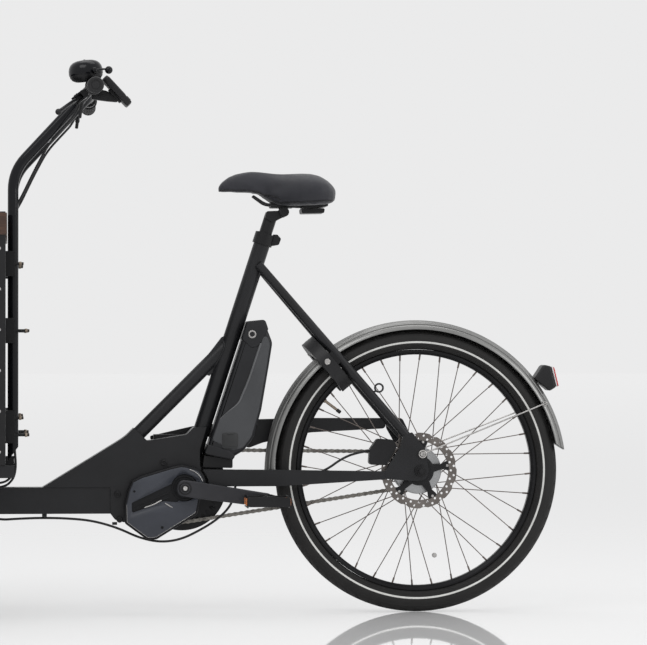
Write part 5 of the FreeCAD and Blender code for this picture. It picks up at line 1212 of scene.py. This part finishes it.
def make_saddle():
    """The padded cover, its shell below, and the seams that follow its surface."""
    bm = bmesh.new()
    loft(bm, [saddle_ring(station) for station in SADDLE_STATIONS])
    bmesh.ops.subdivide_edges(bm, edges=list(bm.edges), cuts=1, use_grid_fill=True, smooth=0.6)
    cover = make_piece("saddle_cushion", bm, "saddle", "saddle_vinyl", stands_for=["saddle_cover"])
    swell(cover)
    bm = bmesh.new()
    bm.from_mesh(cover.data)
    for _ in range(3):
        bmesh.ops.smooth_vert(bm, verts=bm.verts, factor=0.5, use_axis_x=True, use_axis_y=True,
                              use_axis_z=True)
    for face in bm.faces:
        face.smooth = True
        face.material_index = 1 if face.normal.z < -0.6 else 0
    bm.to_mesh(cover.data)
    bm.free()
    cover.data.materials.clear()
    for finish in ("saddle_vinyl", "black_plastic"):
        cover.data.materials.append(FINISHES[finish])
    cover.modifiers.new("round", "SUBSURF").render_levels = 1
    cover.modifiers["round"].levels = 1
    surface = surface_of(cover.data)
    bm = bmesh.new()
    for side in (LEFT, RIGHT):
        hem = [at(station[0], side * station[1] * 0.97, station[3] + 4.5)
               for station in SADDLE_STATIONS[1:-1]]
        seam = [at(-352, side * 40, 886), at(-338, side * 44, 881), at(-326, side * 52, 875),
                at(-316, side * 62, 868), at(-309, side * 66, 862)]
        for line in (hem, seam):
            laid = [surface.find_nearest(point)[:2] for point in curved(line, 6)]
            tube(bm, [spot + normal * 0.0004 for spot, normal in laid], 1.1, sides=8)
    make_piece("saddle_seams", bm, "saddle", "saddle_vinyl", ["black_plastic"])


make_saddle()

# ---------------------------------------------------------------- handlebar fittings
ELBOW = (-690.0, 1100.0)
GRIP_BACK = 2.0
GRIP_DROP = 12.0
BAR_Y = 128.0
GRIP_END = 335.0


def on_bar(side, reach):
    """A point on the bar's axis at a distance from the middle plane."""
    share = (reach - BAR_Y) / (GRIP_END - BAR_Y)
    return at(ELBOW[0] + GRIP_BACK * share, side * reach, ELBOW[1] - GRIP_DROP * share)


def make_grips():
    """Ribbed rubber grips with a flange, a waisted middle and a closed end."""
    for word, side in SIDES.items():
        start = on_bar(side, 222)
        axis = on_bar(side, 338) - start
        profile = [(11.2, 0), (17.6, 0), (18.0, 1.5), (17.6, 4), (15.2, 5)]
        step = 6.0
        while step < 108:
            bulge = 14.6 + 0.9 * math.sin(math.pi * (step - 6) / 102)
            profile += [(bulge, step), (bulge + 0.9, step + 0.7), (bulge + 0.9, step + 2.1),
                        (bulge, step + 2.8)]
            step += 3.4
        profile += [(16.4, 109), (16.8, 111), (16.8, 114.5), (15.6, 116.8), (11.4, 117.2), (10.6, 115.8),
                    (8.0, 115.4), (7.4, 116.6), (0.5, 117.0)]
        bm = bmesh.new()
        turn(bm, start, axis, profile, sides=36)
        piece = make_piece(f"{word}_grip", bm, "front", "grip_rubber")
        if side == LEFT:
            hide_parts("grips")


make_grips()


def make_display():
    """The display: a slim case with a glass face, three keys, a bracket and a split band."""
    tilt = math.radians(47.0)
    along = Vector((math.cos(tilt), 0, -math.sin(tilt)))
    outward = Vector((math.sin(tilt), 0, math.cos(tilt)))
    centre = at(-640, -150, 1089)

    def place(u, v, w):
        return centre + (along * u + ACROSS * v + outward * w) * MM

    bm = bmesh.new()
    case = oblong(-38, -31, 38, 31, 9)
    slab(bm, case, -7.5, 6.5, edge=2.6, place=place)
    slab(bm, oblong(-14, -12, 22, 12, 4), -12.5, -6.5, edge=1.5, place=place)
    arm = [(-692, 1072, 4), (-692, 1096, 4), (-662, 1090, 4), (-642, 1079, 4), (-634, 1066, 4),
           (-660, 1068, 6)]
    slab(bm, rounded(arm), -157, -143, edge=1.6)
    band = on_bar(LEFT, 143)
    loop = [(11.2, 0), (14.6, 0), (15.2, 1), (15.2, 13), (14.6, 14), (11.2, 14)]
    turn(bm, band, on_bar(LEFT, 157) - band, loop, sides=40)
    make_piece("display_case", bm, "front", "black_plastic", stands_for=["display"])
    bm = bmesh.new()
    slab(bm, oblong(-33, -26, 18, 26, 4), 6.0, 7.4, edge=0.5, place=place)
    make_piece("display_glass", bm, "front", "black_plastic", ["screen_glass"])
    bm = bmesh.new()
    for step in (-1, 0, 1):
        slab(bm, oblong(22, step * 17 - 6.5, 33, step * 17 + 6.5, 3), 5.8, 8.0, edge=0.9, place=place)
    make_piece("display_keys", bm, "front", "black_plastic", ["grip_rubber"])


make_display()


LEVER_OUT = Vector((-0.77, 0, -0.64))
LEVER_AXIS = Vector((-0.64, 0, 0.77))
CLAMP_REACH = 205


def lever_pivot(side):
    """The centre of a brake lever's pivot, ahead of its clamp."""
    return on_bar(side, CLAMP_REACH) + LEVER_OUT * 0.040


def ribbon(bm, points, square, half_widths, half_thickness):
    """A flattened bar along points; its thickness lies along a square direction."""
    rings = []
    for index, here in enumerate(points):
        before = points[max(0, index - 1)]
        after = points[min(len(points) - 1, index + 1)]
        heading = (after - before).normalized()
        level = (square - heading * square.dot(heading)).normalized()
        broad = heading.cross(level)
        ring = []
        for step in range(20):
            angle = 2 * math.pi * step / 20
            u = math.copysign(abs(math.cos(angle)) ** 0.7, math.cos(angle)) * half_widths[index]
            v = math.copysign(abs(math.sin(angle)) ** 0.7, math.sin(angle)) * half_thickness
            ring.append(here + (broad * u + level * v) * MM)
        rings.append(ring)
    loft(bm, rings)


def ball(bm, centre, radius):
    """A turned ball."""
    profile = [(max(0.3, radius * math.sin(math.pi * step / 16)), -radius * math.cos(math.pi * step / 16))
               for step in range(17)]
    turn(bm, centre, UP, profile, sides=28)


def make_levers():
    """Forged brake levers: a broad blade that narrows to a ball end, on a bright pivot screw."""
    for word, side in SIDES.items():
        pivot = lever_pivot(side)
        outward = ACROSS * side
        tip = pivot + outward * 0.112 + LEVER_OUT * 0.055
        line = curved([pivot + outward * 0.004, pivot + outward * 0.022 + LEVER_OUT * 0.011,
                       pivot + outward * 0.062 + LEVER_OUT * 0.022,
                       tip - outward * 0.006 - LEVER_OUT * 0.003])
        widths = [7.0 - 2.4 * index / (len(line) - 1) for index in range(len(line))]
        bm = bmesh.new()
        ribbon(bm, line, LEVER_AXIS, widths, 3.8)
        ball(bm, tip, 6.5)
        eye = [(2.7, -4.9), (8.4, -4.9), (8.8, -4.2), (8.8, 4.2), (8.4, 4.9), (2.7, 4.9)]
        turn(bm, pivot, LEVER_AXIS, eye, sides=32)
        make_piece(f"{word}_lever_blade", bm, f"{word}_lever", "black_alloy", ["black_plastic"],
                   [f"{word}_brake_lever"])
    bm = bmesh.new()
    for side in (LEFT, RIGHT):
        socket_screw(bm, lever_pivot(side) + LEVER_AXIS * 0.0088, LEVER_AXIS, 4.2, 2.0)
        socket_screw(bm, on_bar(side, CLAMP_REACH) - LEVER_OUT * 0.0152, -LEVER_OUT, 3.4, 2.4)
    make_piece("lever_screws", bm, "front", "steel")
    bm = bmesh.new()
    for side in (LEFT, RIGHT):
        top = at(-711, side * 172, 1078)
        low = at(-717, side * 170, 1030)
        turn(bm, top, low - top, [(0.4, 0), (5.4, 0), (5.4, 12), (4.2, 14), (4.2, 26), (4.8, 27),
                                  (4.8, 32), (3.6, 34), (3.4, 46), (0.4, 47)], sides=20)
    make_piece("cable_adjusters", bm, "front", "black_plastic")


make_levers()

BELL_LEAN = math.radians(18.0)
BELL_AXIS = Vector((-math.sin(BELL_LEAN), 0, math.cos(BELL_LEAN)))
BELL_ALONG = Vector((math.cos(BELL_LEAN), 0, math.sin(BELL_LEAN)))
BELL_FOOT = at(-702, -212, 1118)
DOME_LEAN = math.radians(7.0)
DOME_AXIS = Vector((-math.sin(DOME_LEAN), 0, math.cos(DOME_LEAN)))


def by_bell(x, y, z):
    """A point in the leaning bell's own directions."""
    return BELL_FOOT + (BELL_ALONG * x + ACROSS * y + BELL_AXIS * z) * MM


def make_bell():
    """A glossy dome over a dark bowl, a band round the bar, and the thumb lever on its pin."""
    bm = bmesh.new()
    foot = BELL_FOOT + ALONG * -0.002 - UP * 0.0045
    turn(bm, foot, DOME_AXIS, [(31.6, 5.2), (34.2, 4.2), (34.9, 5.2), (35.2, 9), (34.8, 15), (33.2, 21),
                               (30, 26.5), (25, 30.6), (18, 33.2), (9, 34.3), (0.4, 34.6)], sides=64)
    turn(bm, foot, DOME_AXIS, [(0.4, 34.3), (2.6, 34.3), (2.6, 35.4), (0.4, 36.0)], sides=20)
    make_piece("bell_cup", bm, "front", "bar_paint", stands_for=["bell"])
    bm = bmesh.new()
    turn(bm, foot, DOME_AXIS, [(0.4, -9.5), (12, -9.5), (22, -8.8), (29, -5.6), (33.2, 0.0), (34.0, 4.4),
                               (0.4, 5.4)], sides=64)
    band = on_bar(LEFT, 183)
    loop = [(11.2, 0), (13.0, 0), (13.6, 0.8), (13.6, 9.4), (13.0, 10.2), (11.2, 10.2)]
    turn(bm, band, on_bar(LEFT, 193) - band, loop, sides=40)
    post = on_bar(LEFT, 188)
    turn(bm, post + BELL_AXIS * 0.010, BELL_AXIS, [(7.5, 0), (5.4, 3), (5.4, 14)], sides=24)
    slab(bm, rounded([(12, -45, 3.5), (20, -45, 3.5), (20, -20, 1), (12, -20, 1)]), -5.5, -2.6, edge=0.6,
         place=by_bell)
    pin = [(1.9, 0), (1.9, 9.6), (3.4, 9.7), (3.4, 11), (2.0, 11.6)]
    turn(bm, by_bell(16, -40, -5.5), BELL_AXIS, pin, sides=20)
    make_piece("bell_bowl", bm, "front", "black_plastic")
    bm = bmesh.new()
    eye = [(2.3, 0), (4.8, 0), (5.0, 0.6), (5.0, 4.4), (4.8, 5.0), (2.3, 5.0)]
    turn(bm, by_bell(16, -40, -1.8), BELL_AXIS, eye, sides=28)
    reach = [by_bell(18.5, -38.5, 0.6), by_bell(27, -36.5, 0.0), by_bell(36, -33.0, -2.0),
             by_bell(42, -31.0, -5.0)]
    tube(bm, curved(reach), 2.0, sides=12)
    ball(bm, by_bell(43, -30.5, -6.0), 8.0)
    make_piece("bell_thumb_lever", bm, "bell_lever", "black_plastic", ["bar_paint"], ["bell_lever"])


make_bell()

# ---------------------------------------------------------------- hoses and cables
HOSE_RADIUS = 0.0025
HOSE_RUNS = {
    "hose_under": ("rear_frame", "rear_brake_hose", (
        (-940, -10, 213), (-887, -12, 198), (-840, -12, 201), (-788, -12, 202.5), (-735, -14, 201),
        (-685, -16, 196), (-633, -22, 181), (-588, -30, 160), (-543, -34, 151), (-501, -34, 157),
        (-462, -36, 176), (-428, -40, 197), (-402, -43, 221), (-390, -43, 246), (-387, -43, 272))),
    "hose_over": ("rear_frame", "rear_brake_hose", (
        (-216, -56, 296), (-196, -56, 303), (-166, -55, 325), (-136, -55, 338), (-104, -54, 343))),
}
UPPER_RUN = ((-711, 174, 1078), (-722, 157, 1045), (-748, 139, 1016), (-779, 128, 982), (-800, 125, 944),
             (-820, 126, 904), (-838, 128, 866), (-851, 128, 845))
LOWER_RUN = ((-850, 126, 352), (-847, 124, 326), (-848, 121, 303), (-854, 117, 286), (-868, 112, 273),
             (-890, 106, 270), (-912, 102, 274), (-932, 100, 281))
for word, side in SIDES.items():
    for height, run in (("upper", UPPER_RUN), ("lower", LOWER_RUN)):
        HOSE_RUNS[f"{height}_cable_{word}"] = ("front", "brake_cables",
                                               tuple((x, side * y, z) for x, y, z in run))


def make_hose(name, body, stands_for, run):
    """One brake hose or cable: a smooth line through its route."""
    route = [at(*point) for point in run]
    curve = bpy.data.curves.new(name, "CURVE")
    curve.dimensions = "3D"
    curve.bevel_depth = HOSE_RADIUS
    curve.bevel_resolution = 4
    curve.resolution_u = 12
    curve.use_fill_caps = True
    spline = curve.splines.new("NURBS")
    spline.points.add(len(route) - 1)
    for point, spot in zip(spline.points, route):
        point.co = (*spot, 1.0)
    spline.order_u = 3
    spline.use_endpoint_u = True
    curve.materials.append(FINISHES["hose_black"])
    piece = new_object(name, curve)
    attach(piece, body)
    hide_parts(stands_for)
    length = sum((after - before).length for before, after in zip(route, route[1:]))
    tuple(route[0])


for name, (body, stands_for, run) in HOSE_RUNS.items():
    make_hose(name, body, stands_for, run)

# ---------------------------------------------------------------- cargo box details
SCREW_HEAD = [(0.4, -1), (4.2, -1), (4.0, 0.6), (2.6, 1.3), (0.4, 1.5)]
RIVET_HEAD = [(0.4, -1), (3.6, -1), (3.4, 0.5), (2.2, 1.1), (0.4, 1.3)]
BOX_SLOPE = 130.0 / 509.0
RAIL_DEPTH = 45.0
RAIL_THICKNESS = 4.0
UPRIGHT_X = -853
UPRIGHT_RADIUS = 11.1
NUT_SINK = 9.0


def make_box_details():
    """A wooden top rail round the box, its screws, the corner angles' rivets and the bar clamps' nuts."""
    low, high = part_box("box_walls")
    top = high.z / MM
    rear = (high.x - REAR_AXLE.x) / MM
    front = (low.x - REAR_AXLE.x) / MM
    half = high.y / MM
    low_edge = top - RAIL_DEPTH
    high_edge = top - 0.2
    front_low = front + RAIL_DEPTH * BOX_SLOPE
    bm = bmesh.new()
    for side in (LEFT, RIGHT):
        corners = [(front_low - 3, low_edge, 2), (front - 3, high_edge, 2), (rear + 2, high_edge, 2),
                   (rear + 2, low_edge, 2)]
        slab(bm, rounded(corners), side * half, side * (half + RAIL_THICKNESS), edge=1.0)
    ends = [(rear, rear, rear + 3.2, rear + 3.2),
            (front_low - 3.5, front - 3.5, front + 1, front_low + 1)]
    for near_low, near_high, far_high, far_low in ends:
        corners = [(near_low, low_edge, 1), (near_high, high_edge, 1), (far_high, high_edge, 1),
                   (far_low, low_edge, 1)]
        slab(bm, rounded(corners), -half, half, edge=0.8)
    make_piece("box_top_rail", bm, "front", "box_ply", ["top_wood"])
    bm = bmesh.new()
    for side in (LEFT, RIGHT):
        for index in range(9):
            x = front + 30 + (rear - front - 60) * index / 8
            spot = at(x, side * (half + RAIL_THICKNESS), top - RAIL_DEPTH / 2)
            turn(bm, spot, ACROSS * side, SCREW_HEAD, sides=18)
        for index in range(6):
            z = 350 + index * 82
            for x in (rear - 12, front + (top - z) * BOX_SLOPE + 12):
                turn(bm, at(x, side * (half + 2.0), z), ACROSS * side, RIVET_HEAD, sides=16)
    make_piece("box_screws", bm, "front", "steel")
    bm = bmesh.new()
    for side in (LEFT, RIGHT):
        for z, reach in ((380.0, 22.0), (415.0, 10.0), (595.0, 22.0), (733.0, 10.0)):
            for lean in (LEFT, RIGHT):
                spot = at(UPRIGHT_X + UPRIGHT_RADIUS + reach - NUT_SINK, side * BAR_Y + lean * 18, z)
                turn(bm, spot, ALONG, [(3.0, 0), (4.4, 0), (4.7, 0.8), (4.7, 4.6), (4.0, 5.4), (3.1, 5.4),
                                       (3.0, 9.4), (0.4, 9.8)], sides=24, shape=hexagonal(5.0))
    make_piece("clamp_nuts", bm, "front", "steel", ["brass"])


make_box_details()
